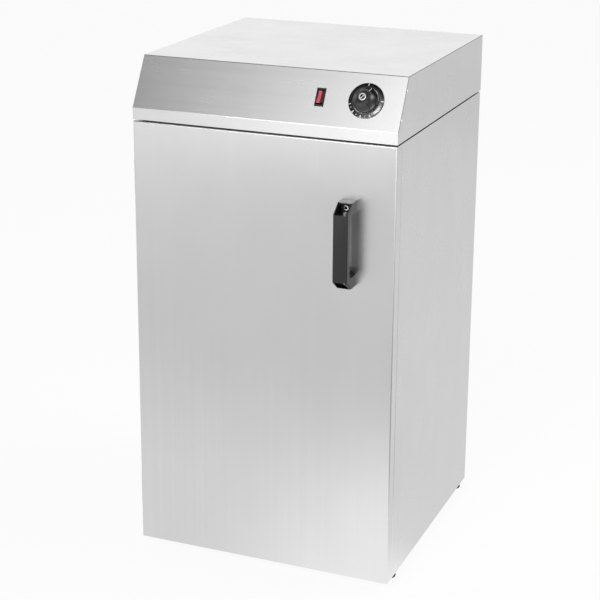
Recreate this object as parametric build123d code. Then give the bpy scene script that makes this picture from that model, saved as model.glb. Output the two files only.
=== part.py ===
from build123d import *
import os
from math import atan2, cos, degrees, hypot, radians, sin

# Plate warmer cabinet: a stainless, double-walled hot cupboard with one overlay door and a sloped control hood.
# It is laid out with x from the middle of the cabinet (+ to the right), y from the door's front face (+ to the
# back) and z from the floor. All lengths are in millimetres.

# ---- Overall sizes ----
width = 450.0
depth = 450.0
height = 855.0
sheet = 0.8  # stainless sheet
bend = 2.0  # outside radius of a folded edge
fit = 0.2  # clearance between two folded sheets that slide together
seat = 0.05  # clearance under a round part that lies on a sheet

# ---- Feet ----
foot_height = 14.0
foot_radius = 15.0
foot_top_radius = 12.0
foot_side_inset = 19.0
foot_front_inset = 57.0
foot_back_inset = 20.0
foot_bolt_radius = 3.0
foot_counterbore = 7.0
foot_counterbore_depth = 6.5
nut_flats = 10.0
nut_height = 5.0
bolt_head_radius = 5.5
bolt_head_height = 4.0
hole_clearance = 0.3  # radial clearance of a screw or bolt in its hole
head_sides = 10  # sides of a small round head
hole_sides = 6  # sides of a small hole or shank
round_sides = 24  # sides of a knob, dial, foot or gland

# ---- Hood and control panel ----
lip_height = 19.0
slope_rise = 78.5
slope_run = 45.0
shadow_gap = 2.5  # dark line under the hood all round
cheek_tab = 14.0  # flange folded back from the slope inside each cheek
rivet_radius = 1.7
rivet_height = 0.7
rivet_spread = 47.6
rivet_setback = 6.3
deck_flange = 18.0
deck_side_gap = 6.0  # the deck stands back from the cheeks, so the line under the hood stays dark
vent_length = 58.0
vent_height = 4.0
vent_pitch = 9.0
vent_rows = 5
vent_columns = 2
vent_column_pitch = 76.0
vent_x = 60.0
vent_drop = 52.0  # middle of the vents below the top of the hood

# ---- Body ----
door_thickness = 21.5
door_gap = 1.0
return_width = 12.0  # front and top returns of a side panel
back_screw_inset = 34.0
rear_return = 15.0
base_flange = 25.0
side_insulation = 23.0
back_insulation = 31.0
top_insulation = 30.0
floor_insulation = 24.0
mouth_flange = 12.0
floor_rise = 42.0  # cavity floor above the cabinet's bottom
rail_flange = 12.0
tray_flange = 12.0
lid_flange = 10.0

# ---- Screws with a pan head ----
screw_radius = 2.0
screw_head_radius = 4.0
screw_head_height = 2.4
screw_length = 7.0

# ---- Shelves ----
shelf_levels = (300.0, 512.0)
frame_wire = 3.0
cross_wire = 1.75
stay_wire = 2.5
weld_sink = 0.6  # how far two crossing wires sink into each other
wire_count = 10
shelf_front_inset = 46.0
shelf_back_inset = 18.6  # from the liner's back to the shelf
runner_leg = 14.0
runner_wall = 18.0

# ---- Heater ----
element_radius = 4.0
element_height = 18.0
element_half_width = 120.0
element_front_inset = 60.0
element_bend = 60.0
element_tail = 24.0
cover_height = 42.0
cover_front_inset = 40.0
cover_back_inset = 6.0
cover_side_gap = 4.0
slot_length = 84.0
slot_width = 12.0
slot_rows = 5
slot_columns = 3

# ---- Thermostat, dial and knob ----
dial_from_side = 60.0
dial_up_slope = 46.0
dial_radius = 28.7
dial_bore = 21.2
dial_thickness = 2.4
knob_radius = 20.4
knob_lift = 1.2
knob_rim = 5.0
knob_height = 21.5
hub_radius = 8.8
knob_wall = 2.2
flank_sag = 2.0  # how far the flank hollows in from a straight cone
cap_radius = 6.0
cap_thickness = 1.6
pointer_angle = 38.0  # clockwise from up-slope, where the knob rests
shaft_radius = 3.0
running = 0.05  # radial clearance of a turning shaft
shaft_flat = 0.8
thermostat_width = 46.0
thermostat_length = 38.0
thermostat_depth = 30.0
bushing_radius = 5.0
thermostat_screw_spread = 28.0
bulb_radius = 3.0
bulb_length = 90.0
capillary_radius = 1.0
capillary_bend = 8.0
capillary_setback = 80.0  # its drop to the cavity, behind the body's front
capillary_lead = 24.0  # run from the thermostat back to the drop
capillary_rise = 26.0  # height of that run over the deck
capillary_tail = 34.0  # run under the roof to the bulb
bulb_drop = 24.0

# ---- Rocker switch ----
switch_from_side = 135.3
switch_up_slope = 45.3
bezel_width = 14.6
bezel_length = 30.0
bezel_height = 2.0
switch_body_width = 12.4
switch_body_length = 27.0
switch_body_depth = 21.0
rocker_width = 10.4
rocker_length = 21.6
rocker_gap = 0.4
rocker_throw = 9.0  # tilt either side of level
rocker_pivot_depth = 2.0
rocker_well = 12.0

# ---- Inlet and terminals ----
gland_from_side = 75.0
gland_above_deck = 36.0
gland_radius = 12.0
gland_bore = 4.5
gland_nut_height = 5.0
gland_projection = 16.0
gland_thread = 9.5
gland_tail = 11.0
terminal_from_side = 115.0
terminal_from_back = 110.0
terminal_pitch = 12.0
terminal_count = 4

# ---- Door ----
channel_inset = 2.4  # gasket channel starts this far inside the mouth's edge
channel_width = 12.0
channel_depth = 7.0
plug_depth = 3.5  # how far the door's raised field enters the cavity
gasket_clearance = 0.3
gasket_side = 1.0
skin_return = 10.0
door_edge = 2.5  # outside radius of the door skin's front edges

# ---- Door handle ----
handle_from_side = 76.5
handle_middle = 580.5  # above the door's bottom edge
handle_length = 139.0
handle_width = 24.5
handle_projection = 40.0
handle_bar = 11.0
handle_leg = 19.0
handle_chamfer_depth = 19.0
handle_chamfer_height = 14.0
handle_rounding = 3.0
grip_rounding = 7.0
handle_hole_inset = 9.5
pocket_width = 18.5
pocket_length = 14.0
pocket_rim = 1.25  # wall between a pocket and the handle's end
pocket_floor = 10.0
handle_screw_head = 4.0
handle_screw_head_height = 3.0
handle_screw_reach = 6.0
handle_nut_flats = 7.0
handle_nut_height = 3.2

# ---- Hinges and catch ----
knuckle_radius = 4.0
hinge_height = 60.0
hinge_end_inset = 92.0  # hinge's middle from the door's top and bottom edges
hinge_leaf = 2.0
leaf_reach = 26.0
door_leaf_reach = 17.0
hinge_pin_radius = 2.2
washer_height = 1.0
washer_clearance = 0.1
pin_socket = 1.0
hinge_screw_spread = 34.0
hinge_screw_head = 3.4
hinge_screw_head_height = 1.6
catch_x = 150.0
catch_width = 44.0
catch_depth = 14.0
catch_height = 14.0
magnet_width = 30.0
magnet_height = 9.0
catch_clearance = 0.3
strike_thickness = 0.5
strike_width = 46.0
strike_height = 15.0

# ---- Places worked out from the sizes ----
body_bottom = foot_height
lip_bottom = height - slope_rise - lip_height
slope_foot = lip_bottom + lip_height
deck_z = lip_bottom - shadow_gap
body_front = door_thickness + door_gap
mouth_half = width / 2 - sheet - side_insulation - sheet
mouth_bottom = body_bottom + floor_rise
mouth_top = deck_z - top_insulation - sheet
back_y = depth - 3 * sheet - back_insulation  # front face of the liner's back
slope_length = hypot(slope_run, slope_rise)
slope_lean = degrees(atan2(slope_run, slope_rise))
inner_half = width / 2 - sheet
knuckle_projection = 2 * knuckle_radius
hinge_axis = (-width / 2 - knuckle_radius, body_front - door_gap / 2)
gland_x = gland_from_side - width / 2
terminal_x = terminal_from_side - width / 2
to_origin = Vector(
    (knuckle_projection - rivet_height) / 2, -(depth + gland_projection - handle_projection) / 2, 0
)
slope = Plane(
    origin=(0, 0, slope_foot),
    x_dir=(1, 0, 0),
    z_dir=(0, -cos(radians(slope_lean)), sin(radians(slope_lean))),
)
dial_place = slope.location * Pos(width / 2 - dial_from_side, dial_up_slope, 0)
switch_place = slope.location * Pos(width / 2 - switch_from_side, switch_up_slope, 0)


# ---- Forming helpers ----
def block(x, y, z):
    """A box given by its low and high limits along x, y and z."""
    middle = Pos(sum(x) / 2, sum(y) / 2, sum(z) / 2)
    return middle * Box(x[1] - x[0], y[1] - y[0], z[1] - z[0])


def spread(middle, length):
    """Low and high limits of a length about its middle."""
    return (middle - length / 2, middle + length / 2)


def folded(plane, points, length):
    """A sheet folded along parallel bends: its section's mid-line, thickened and drawn out along the plane's axis."""
    line = FilletPolyline(*points, radius=bend - sheet / 2)
    return extrude(plane * trace(line, sheet), length)


def ring(half_out, z_out, half_in, z_in, y):
    """A rectangular frame about x = 0 that fills y: outer and inner half widths and z limits."""
    return block((-half_out, half_out), y, z_out) - block((-half_in, half_in), y, z_in)


def faceted(*rings):
    """A many-sided solid about z through rings given as (radius of its flats, height), lowest first."""
    solid = Part()
    for (low_radius, low), (high_radius, high) in zip(rings, rings[1:]):
        section = Pos(0, 0, low) * RegularPolygon(low_radius, round_sides, major_radius=False)
        taper = degrees(atan2(low_radius - high_radius, high - low))
        solid += extrude(section, high - low, taper=taper)
    return solid


def pan_screw(head_radius, head_height, radius, length):
    """A plain pan-head screw along z, few-sided: its head stands on z = 0, its shank goes down."""
    head = extrude(RegularPolygon(head_radius, head_sides), head_height, taper=20)
    return head + extrude(RegularPolygon(radius, hole_sides), -length)


def drill(radius, length):
    """A few-sided drill about z = 0 that clears a round of this radius."""
    return extrude(RegularPolygon(radius, hole_sides, major_radius=False), length / 2, both=True)


def rod_between(start, end, radius):
    """A straight six-sided rod."""
    run = Line(start, end)
    flats = Plane(origin=run @ 0, z_dir=run % 0) * Rot(Z=30) * RegularPolygon(radius, 6)
    return extrude(flats, run.length)


def on_back(x, y, z):
    """Place a part made along z so that it points out of the back at this point."""
    return Location((x, y, z), (-90, 0, 0))


def tube_run(points, radius, corner):
    """A rod or tube along straight runs and tangent bends, as a six-sided section drawn or turned along each."""
    tube = Part()
    for edge in FilletPolyline(*points, radius=corner).edges():
        flats = Plane(origin=edge @ 0, z_dir=edge % 0) * RegularPolygon(radius, 6)
        if edge.geom_type == GeomType.LINE:
            tube += extrude(flats, edge.length)
        else:
            turn = degrees(edge.length / edge.radius)
            tube += revolve(flats, Axis(edge.arc_center, (edge % 0).cross(edge % 1)), turn)
    return tube


# ---- Hood ----
def hood_block(inset):
    """The hood's outline as a solid, with every face set in by the same amount."""
    corners = [
        (0, lip_bottom),
        (0, slope_foot),
        (slope_run, height),
        (depth, height),
        (depth, lip_bottom),
    ]
    section = make_face(Polyline(*corners, close=True))
    if inset:
        section = offset(section, amount=-inset, kind=Kind.INTERSECTION)
    upper = section.vertices().filter_by(lambda v: v.Y > lip_bottom + 2 * sheet)
    section = fillet(upper, bend - inset)
    half = width / 2 - inset
    return extrude(Plane.YZ.offset(-half) * section, 2 * half)


def vent_places():
    """Middles of the vent slots in the hood's rear wall, as (x, z)."""
    for row in range(vent_rows):
        for column in range(vent_columns):
            x = vent_x + (column - (vent_columns - 1) / 2) * vent_column_pitch
            yield x, height - vent_drop + (row - (vent_rows - 1) / 2) * vent_pitch


def hood_screw_places():
    """Screws that hold the hood's rear wall to the deck's flange, as (x, z)."""
    reach = width / 2 - foot_counterbore * 3
    return [(x, deck_z + deck_flange / 2) for x in (-reach, 0, reach)]


def rivet_places():
    """Rivets of the slope's side tabs, as distances up the slope."""
    return spread(slope_length / 2, rivet_spread)


def hood():
    """Top, slope, lip, cheeks and rear wall, folded from one sheet with closed corners."""
    shell = hood_block(0) - hood_block(sheet)
    bottom = (lip_bottom - sheet, lip_bottom + 2 * sheet)
    shell -= block((-inner_half, inner_half), (body_front - fit, depth - sheet), bottom)
    tab_run = (rivet_places()[0] - cheek_tab, rivet_places()[1] + cheek_tab)
    tab = block((inner_half - sheet, inner_half), tab_run, (-cheek_tab, -sheet))
    for side in (tab, mirror(tab, about=Plane.YZ)):
        shell += slope.location * side
    for x, z in vent_places():
        shell -= block(spread(x, vent_length), spread(depth, 4 * sheet), spread(z, vent_height))
    hole = drill(screw_radius + hole_clearance, 4 * sheet)
    for x, z in hood_screw_places():
        shell -= on_back(x, depth, z) * hole
    gland_hole = faceted((gland_thread + hole_clearance, -2 * sheet), (gland_thread + hole_clearance, 2 * sheet))
    shell -= on_back(gland_x, depth, deck_z + gland_above_deck) * gland_hole
    bushing_hole = bushing_radius + 2 * hole_clearance
    shell -= dial_place * faceted((bushing_hole, -2 * sheet), (bushing_hole, 2 * sheet))
    for side in (-1, 1):
        shell -= dial_place * Pos(side * thermostat_screw_spread / 2, 0, 0) * hole
    window = Box(
        switch_body_width + hole_clearance,
        switch_body_length + hole_clearance,
        4 * sheet,
    )
    shell -= switch_place * window
    return shell


def hood_rivets():
    """Heads of four blind rivets, two on each cheek over the slope's side tabs."""
    head = extrude(RegularPolygon(rivet_radius, head_sides), rivet_height, taper=30)
    rivets = Part()
    for s in rivet_places():
        for side in (-1, 1):
            place = slope.location * Pos(side * width / 2, s, -rivet_setback)
            rivets += place * Rot(Y=side * 90) * head
    return rivets


def hood_screws():
    """Pan-head screws through the hood's rear wall."""
    screw = pan_screw(screw_head_radius, screw_head_height, screw_radius, screw_length)
    screws = Part()
    for x, z in hood_screw_places():
        screws += on_back(x, depth + seat, z) * screw
    return screws


def deck_panel():
    """Tray that closes the body under the hood; its upturned rear flange sits inside the hood's rear wall."""
    half = inner_half - deck_side_gap
    y = (body_front, depth - sheet - fit)
    tray = block((-half, half), y, (deck_z, deck_z + deck_flange))
    tray = fillet(tray.edges().group_by(Axis.Z)[0], bend)
    y_in = (y[0] + sheet, y[1] - sheet)
    hollow = block(
        (-half + sheet, half - sheet), y_in, (deck_z + sheet, deck_z + 2 * deck_flange)
    )
    hollow = fillet(hollow.edges().group_by(Axis.Z)[0], bend - sheet)
    tray -= hollow
    for x, z in hood_screw_places():
        tray -= on_back(x, depth - sheet, z) * drill(screw_radius + hole_clearance, 6 * sheet)
    return tray - capillary_hole()


# ---- Body casing ----
def side_panel():
    """Right-hand side: one sheet with a front return, a rear return set in for the back, and a top flange."""
    x = width / 2 - sheet / 2
    front = body_front + sheet / 2
    back = depth - 1.5 * sheet
    points = [
        (width / 2 - return_width, front),
        (x, front),
        (x, back),
        (width / 2 - rear_return, back),
    ]
    bottom = Plane.XY.offset(body_bottom)
    panel = folded(bottom, points, deck_z - body_bottom)
    panel += block(
        (width / 2 - return_width, x),
        (body_front + sheet, depth - 2 * sheet),
        (deck_z - sheet, deck_z),
    )
    for z in back_screw_levels():
        place = on_back(width / 2 - rear_return / 2, depth, z)
        panel -= place * drill(screw_radius + hole_clearance, 6 * sheet)
    return panel


def back_screw_levels():
    """Heights of the screws down each edge of the back panel."""
    run = deck_z - body_bottom - 2 * back_screw_inset
    return [body_bottom + back_screw_inset + run * step / 2 for step in range(3)]


def back_panel():
    """Flat sheet over the rear returns of both side panels."""
    half = width / 2 - bend
    panel = block((-half, half), (depth - sheet, depth), (body_bottom, deck_z))
    for x, z in back_screw_places():
        panel -= on_back(x, depth, z) * drill(screw_radius + hole_clearance, 4 * sheet)
    return panel


def back_screw_places():
    """Screws of the back panel, as (x, z)."""
    edge = width / 2 - rear_return / 2
    return [(side * edge, z) for side in (-1, 1) for z in back_screw_levels()]


def back_screws():
    """Pan-head screws round the back panel."""
    screw = pan_screw(screw_head_radius, screw_head_height, screw_radius, screw_length)
    screws = Part()
    for x, z in back_screw_places():
        screws += on_back(x, depth + seat, z) * screw
    return screws


def foot_places():
    """Middles of the four feet, as (x, y)."""
    x = width / 2 - foot_side_inset
    for side in (-x, x):
        for y in (foot_front_inset, depth - foot_back_inset):
            yield side, y


def base_pan():
    """Tray between the side panels that closes the bottom and carries the feet."""
    y = (body_front + bend, depth - sheet - bend)
    top = body_bottom + base_flange
    tray = block((-inner_half, inner_half), y, (body_bottom, top))
    tray = fillet(tray.edges().group_by(Axis.Z)[0], bend)
    half = inner_half - sheet
    y_in = (y[0] + sheet, y[1] - sheet)
    hollow = block((-half, half), y_in, (body_bottom + sheet, top + base_flange))
    tray -= fillet(hollow.edges().group_by(Axis.Z)[0], bend - sheet)
    for x, y in foot_places():
        tray -= Pos(x, y, body_bottom) * drill(foot_bolt_radius + hole_clearance, 4 * sheet)
    return tray


def feet():
    """Four moulded feet that taper upwards, with a counterbore for the bolt's head."""
    taper = degrees(atan2(foot_radius - foot_top_radius, foot_height))
    foot = extrude(RegularPolygon(foot_radius, round_sides), foot_height, taper=taper)
    foot -= drill(foot_bolt_radius + hole_clearance, 4 * foot_height)
    foot -= drill(foot_counterbore, 2 * foot_counterbore_depth)
    group = Part()
    for x, y in foot_places():
        group += Pos(x, y, 0) * foot
    return group


def hexagon(flats, low, high):
    """A hexagonal prism about z between two heights."""
    radius = flats / 2 / cos(radians(30))
    return Pos(0, 0, low) * extrude(RegularPolygon(radius, 6), high - low)


def foot_bolts():
    """Bolts up through the feet and the base pan."""
    top = body_bottom + sheet + nut_height + 2
    seat_z = foot_counterbore_depth
    head = hexagon(2 * bolt_head_radius * cos(radians(30)), seat_z - bolt_head_height, seat_z)
    bolt = head + Pos(0, 0, seat_z) * extrude(RegularPolygon(foot_bolt_radius, hole_sides), top - seat_z)
    group = Part()
    for x, y in foot_places():
        group += Pos(x, y, 0) * bolt
    return group


def foot_nuts():
    """Hexagon nuts on the base pan's floor."""
    low = body_bottom + sheet
    nut = hexagon(nut_flats, low, low + nut_height)
    nut -= Pos(0, 0, low) * drill(foot_bolt_radius + seat, 4 * nut_height)
    group = Part()
    for x, y in foot_places():
        group += Pos(x, y, 0) * nut
    return group


def front_rail_top():
    """Channel over the cavity's mouth, between the side panels' returns."""
    face = body_front + sheet / 2
    high = deck_z - sheet / 2
    low = mouth_top + mouth_flange + sheet / 2
    deep = body_front + rail_flange
    half = width / 2 - return_width
    points = [(deep, high), (face, high), (face, low), (deep, low)]
    rail = folded(Plane.YZ.offset(-half), points, 2 * half)
    window = (spread(catch_x, magnet_width + 2 * fit), spread(catch_z(), magnet_height + 2 * fit))
    return rail - block(window[0], (body_front - sheet, body_front + 2 * sheet), window[1])


def front_rail_bottom():
    """Angle under the cavity's mouth, between the side panels' returns."""
    face = body_front + sheet / 2
    high = mouth_bottom - mouth_flange - sheet / 2
    half = width / 2 - return_width
    points = [(face, body_bottom), (face, high), (body_front + rail_flange, high)]
    return folded(Plane.YZ.offset(-half), points, 2 * half)


# ---- Cavity ----
def liner_wrap():
    """Both side walls and the roof of the cavity in one sheet, with a flange round its mouth."""
    x = mouth_half + sheet / 2
    low = mouth_bottom - sheet
    high = mouth_top + sheet / 2
    run = back_y - body_front
    section = [(-x, low), (-x, high), (x, high), (x, low)]
    wrap = folded(Plane.XZ.offset(-back_y), section, run)
    wrap += ring(
        width / 2 - return_width,
        (mouth_bottom - mouth_flange, mouth_top + mouth_flange),
        mouth_half,
        (mouth_bottom - 2 * mouth_flange, mouth_top),
        (body_front, body_front + sheet),
    )
    return wrap - capillary_hole()


def liner_floor():
    """Cavity floor with upturned edges and a front edge folded down."""
    floor = (mouth_bottom - sheet, mouth_bottom)
    half = mouth_half - seat
    tray = block((-half, half), (body_front, back_y), floor)
    edge = (mouth_bottom - sheet, mouth_bottom + tray_flange)
    wall = block((half - sheet, half), (body_front + tray_flange, back_y), edge)
    tray += wall + mirror(wall, about=Plane.YZ)
    tray += block((-half, half), (back_y - sheet, back_y), edge)
    front = (mouth_bottom - mouth_flange, mouth_bottom)
    tray += block((-half, half), (body_front, body_front + sheet), front)
    for x in element_ends():
        tray -= on_back(x, back_y, element_z()) * drill(element_radius + hole_clearance, 6 * sheet)
    return tray


def liner_back():
    """Lid over the rear end of the cavity, its edges folded forward outside the wrap."""
    half = mouth_half + 2 * sheet
    z = (mouth_bottom - 2 * sheet, mouth_top + 2 * sheet)
    lid = block((-half, half), (back_y - lid_flange, back_y + sheet), z)
    z_in = (z[0] + sheet, z[1] - sheet)
    lid -= block((-half + sheet, half - sheet), (0, back_y), z_in)
    for x in element_ends():
        lid -= on_back(x, back_y, element_z()) * drill(element_radius + hole_clearance, 6 * sheet)
    return lid


def insulation_sides():
    """Mineral-wool slabs between the cavity's walls and the side panels."""
    x = (mouth_half + sheet, inner_half)
    y = (body_front + bend, back_y - lid_flange)
    z = (mouth_bottom - mouth_flange + fit, mouth_top + mouth_flange - fit)
    slab = block(x, y, z)
    return slab + mirror(slab, about=Plane.YZ)


def insulation_back():
    """Slab behind the cavity, above the heater's ends."""
    half = width / 2 - rear_return
    z = (mouth_bottom + cover_height, deck_z - 2 * sheet)
    return block((-half, half), (back_y + sheet, depth - 3 * sheet), z)


def insulation_top():
    """Slab between the cavity's roof and the deck."""
    y = (body_front + rail_flange + sheet, back_y - lid_flange)
    slab = block((-mouth_half, mouth_half), y, (mouth_top + sheet, deck_z))
    room = (spread(catch_x, 2 * catch_width), (0, body_front + 3 * catch_depth))
    return slab - block(*room, (mouth_top + 2 * sheet, deck_z + sheet)) - capillary_hole()


def insulation_floor():
    """Slab stuck under the cavity's floor."""
    y = (body_front + rail_flange + sheet, back_y - lid_flange)
    z = (mouth_bottom - sheet - floor_insulation, mouth_bottom - sheet)
    return block((-mouth_half, mouth_half), y, z)


def shelf_runner(level):
    """Right-hand runner: an angle with one leg on the wall and one under the shelf."""
    x = mouth_half - sheet / 2
    points = [(x, level + runner_wall), (x, level - sheet / 2), (x - runner_leg, level - sheet / 2)]
    front = body_front + tray_flange
    return folded(Plane.XZ.offset(-back_y + sheet), points, back_y - sheet - front)


def shelf_runners():
    """The right-hand wall's runners, one for each shelf."""
    runners = Part()
    for level in shelf_levels:
        runners += shelf_runner(level)
    return runners


def wire_shelf(level):
    """Welded wire shelf: four border rods, plate wires on top of them along the depth, and two stays under those."""
    half = mouth_half - sheet - 2 * frame_wire
    front = shelf_front_inset
    back = back_y - shelf_back_inset
    z = level + seat + frame_wire
    shelf = Part()
    for side in (-half, half):
        shelf += rod_between((side, front, z), (side, back, z), frame_wire)
    for y in (front + frame_wire, back - frame_wire):
        shelf += rod_between((-half, y, z), (half, y, z), frame_wire)
    wire_z = z + frame_wire + cross_wire - weld_sink
    stay_z = wire_z - cross_wire - stay_wire + weld_sink
    for y in ((2 * front + back) / 3, (front + 2 * back) / 3):
        shelf += rod_between((-half, y, stay_z), (half, y, stay_z), stay_wire)
    pitch = 2 * half / (wire_count + 1)
    for step in range(1, wire_count + 1):
        x = pitch * step - half
        shelf += rod_between((x, front, wire_z), (x, back, wire_z), cross_wire)
    return shelf


# ---- Heater ----
def element_ends():
    """Where the heater's two ends leave the cavity, across its width."""
    return (-element_half_width, element_half_width)


def element_z():
    """Height of the element's axis."""
    return mouth_bottom + element_height


def heater_element():
    """Tubular element bent to a hairpin, its two ends out through the liner's back."""
    front = body_front + element_front_inset
    tail = back_y + element_tail
    points = [(-element_half_width, tail), (-element_half_width, front)]
    points += [(-x, y) for x, y in reversed(points)]
    return tube_run([(x, y, element_z()) for x, y in points], element_radius, element_bend)


def heater_end_nuts():
    """Hexagon nuts that clamp the element's ends to the liner's back."""
    nut = hexagon(2 * nut_flats, 0, nut_height)
    nut -= drill(element_radius + seat, 4 * nut_height)
    nuts = Part()
    for x in element_ends():
        nuts += on_back(x, back_y + sheet, element_z()) * nut
    return nuts


def heater_supports():
    """Two bent straps that stand on the cavity floor and carry the element's legs."""
    leg = element_radius + 2 * sheet
    top = element_height - element_radius - seat
    strap = block(spread(0, 6 * leg), spread(0, 2 * leg), (0, sheet))
    strap += block(spread(0, 2 * leg), spread(0, 2 * leg), (top - sheet, top))
    for side in (-1, 1):
        strap += block(spread(side * (leg - sheet / 2), sheet), spread(0, 2 * leg), (0, top))
    straps = Part()
    y = body_front + element_front_inset + 2 * element_bend
    for x in element_ends():
        straps += Pos(x, y, mouth_bottom) * strap
    return straps


def heater_cover():
    """Slotted plate over the element, folded down at the front and the back to stand on the floor."""
    half = mouth_half - sheet - cover_side_gap
    front = body_front + cover_front_inset
    back = back_y - sheet - cover_back_inset
    top = mouth_bottom + cover_height - sheet / 2
    points = [(front, mouth_bottom), (front, top), (back, top), (back, mouth_bottom)]
    cover = folded(Plane.YZ.offset(-half), points, 2 * half)
    for row in range(slot_rows):
        for column in range(slot_columns):
            x = (column - (slot_columns - 1) / 2) * 2 * half / slot_columns
            y = front + (back - front) * (row + 1) / (slot_rows + 1)
            cover -= block(spread(x, slot_length), spread(y, slot_width), spread(top, 4 * sheet))
    room = spread(element_z(), 2 * element_radius + 4 * sheet)
    for x in element_ends():
        cover -= block(spread(x, 2 * element_radius + 4 * sheet), spread(back, 6 * sheet), room)
    return cover


# ---- Thermostat, dial and knob: built flat about z, then laid on the slope ----
def dial_ring():
    """Fixed scale ring round the knob."""
    disc = faceted((dial_radius, 0), (dial_radius, dial_thickness))
    return dial_place * (disc - faceted((dial_bore, -dial_thickness), (dial_bore, 2 * dial_thickness)))


def knob():
    """Hollow bell-shaped knob: a rim, a flank that sweeps in to the hub, and a bored boss for the shaft."""
    shoulder = knob_lift + knob_rim
    waist = ((knob_radius + hub_radius) / 2 - flank_sag, (shoulder + knob_height) / 2 - flank_sag / 2)
    body = faceted((knob_radius, knob_lift), (knob_radius, shoulder), waist, (hub_radius, knob_height))
    inner = knob_radius - knob_wall
    body -= faceted((inner, 0), (inner, shoulder))
    boss = shaft_radius + knob_wall
    body += faceted((boss, knob_lift + knob_wall), (boss, shoulder))
    body -= faceted((cap_radius + fit, knob_height - cap_thickness), (cap_radius + fit, 2 * knob_height))
    bore_top = knob_height - cap_thickness - knob_wall
    bore = Pos(0, 0, bore_top / 2) * Cylinder(shaft_radius + seat, bore_top)
    flat = shaft_radius - shaft_flat + seat
    bore -= block((-knob_radius, knob_radius), (flat, knob_radius), (0, knob_height))
    body -= bore
    return dial_place * Rot(Z=-pointer_angle) * body


def knob_cap():
    """Plated cap in the hub, with two short slots."""
    low = knob_height - cap_thickness + seat
    cap = faceted((cap_radius, low), (cap_radius, low + cap_thickness))
    slot = Box(cap_radius / 5, cap_radius, cap_thickness)
    for side in (-1, 1):
        cap -= Pos(side * cap_radius / 3, 0, low + cap_thickness) * slot
    return dial_place * Rot(Z=-pointer_angle) * cap


def thermostat_shaft():
    """Shaft from inside the thermostat to the knob, with a flat for the knob."""
    low = -thermostat_depth / 3
    high = knob_height - cap_thickness - knob_wall - 2 * seat
    shaft = Pos(0, 0, (low + high) / 2) * Cylinder(shaft_radius, high - low)
    flat = shaft_radius - shaft_flat
    cut = block((-knob_radius, knob_radius), (flat, knob_radius), (knob_lift + 1, knob_height))
    return dial_place * Rot(Z=-pointer_angle) * (shaft - cut)


def thermostat_body():
    """Capillary thermostat: a chamfered case behind the slope with its bushing and three tabs."""
    low = -sheet - thermostat_depth
    case = block(
        spread(0, thermostat_width), spread(0, thermostat_length), (low, -sheet)
    )
    case = chamfer(case.edges().group_by(Axis.Z)[0], 3)
    case += faceted((bushing_radius, -sheet), (bushing_radius, dial_thickness))
    reach = thermostat_depth / 3 + 1
    bore = Cylinder(shaft_radius + running, reach + dial_thickness + 1)
    case -= Pos(0, 0, (dial_thickness + 1 - reach) / 2) * bore
    for step in (-1, 0, 1):
        case += block(spread(step * 12, 6.3), spread(0, 0.8), (low - 8, low + 1))
    for side in (-1, 1):
        case -= Pos(side * thermostat_screw_spread / 2, 0, -sheet) * drill(screw_radius, 2 * screw_length)
    return dial_place * case


def thermostat_screws():
    """Two screws from the front, under the knob, that hold the thermostat."""
    screw = pan_screw(screw_head_radius - 0.8, 1.2, screw_radius - seat, screw_length - 1)
    screws = Part()
    for side in (-1, 1):
        place = dial_place * Pos(side * thermostat_screw_spread / 2, 0, seat)
        screws += place * screw
    return screws


def capillary_route():
    """Points of the capillary: from the thermostat down through the deck and roof, then along under the roof."""
    x = width / 2 - dial_from_side
    y = body_front + capillary_setback
    start = (x, y - capillary_lead, deck_z + capillary_rise)
    drop = (x, y, deck_z + capillary_rise)
    turn = (x, y, mouth_top - bulb_drop)
    end = (x, y + capillary_tail, mouth_top - bulb_drop)
    return [start, drop, turn, end]


def capillary_hole():
    """Round hole for the capillary through whatever lies between the deck and the cavity."""
    x, y, z = capillary_route()[2]
    drill = Cylinder(4 * capillary_radius, 2 * (deck_z + deck_flange - z))
    keep = block((x - 9, x + 9), (y - 9, y + 9), (mouth_top - 1, deck_z + 2 * sheet))
    return Pos(x, y, z) * drill & keep


def thermostat_bulb():
    """Copper capillary with its sensing bulb, hung under the cavity's roof."""
    route = capillary_route()
    tube = tube_run(route, capillary_radius, capillary_bend)
    x, y, z = route[-1]
    return tube + rod_between((x, y - 1, z), (x, y + bulb_length - 1, z), bulb_radius)


def bulb_clips():
    """Two strap clips that hang the bulb from the roof."""
    x, y, z = capillary_route()[-1]
    outer = 2 * (bulb_radius + 2 * sheet)
    clips = Part()
    for step in (0.25, 0.75):
        strap = block(spread(x, outer), spread(y + bulb_length * step, 8), spread(z, outer))
        strap += block(
            spread(x, sheet), spread(y + bulb_length * step, 8), (z + bulb_radius, mouth_top)
        )
        strap += block(
            (x - sheet / 2, x + 12),
            spread(y + bulb_length * step, 8),
            (mouth_top - sheet, mouth_top),
        )
        bore = Rot(X=90) * drill(bulb_radius + seat, 20)
        clips += strap - Pos(x, y + bulb_length * step, z) * bore
    return clips


# ---- Rocker switch ----
def switch_housing():
    """Snap-in switch case: a bezel on the panel, a body behind it with a well for the rocker, and its tabs."""
    bezel = block(spread(0, bezel_width), spread(0, bezel_length), (0, bezel_height))
    bezel = chamfer(bezel.edges().group_by(Axis.Z)[-1], bezel_height / 4)
    low = -switch_body_depth
    case = bezel + block(
        spread(0, switch_body_width), spread(0, switch_body_length), (low, 0)
    )
    well = block(
        spread(0, rocker_width + 2 * rocker_gap),
        spread(0, rocker_length + 6 * rocker_gap),
        (-rocker_well, 2 * bezel_height),
    )
    case -= well
    for step in (-1, 0, 1):
        case += block(spread(0, 6.3), spread(step * 8, 0.8), (low - 8, low + 1))
    return switch_place * case


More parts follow.
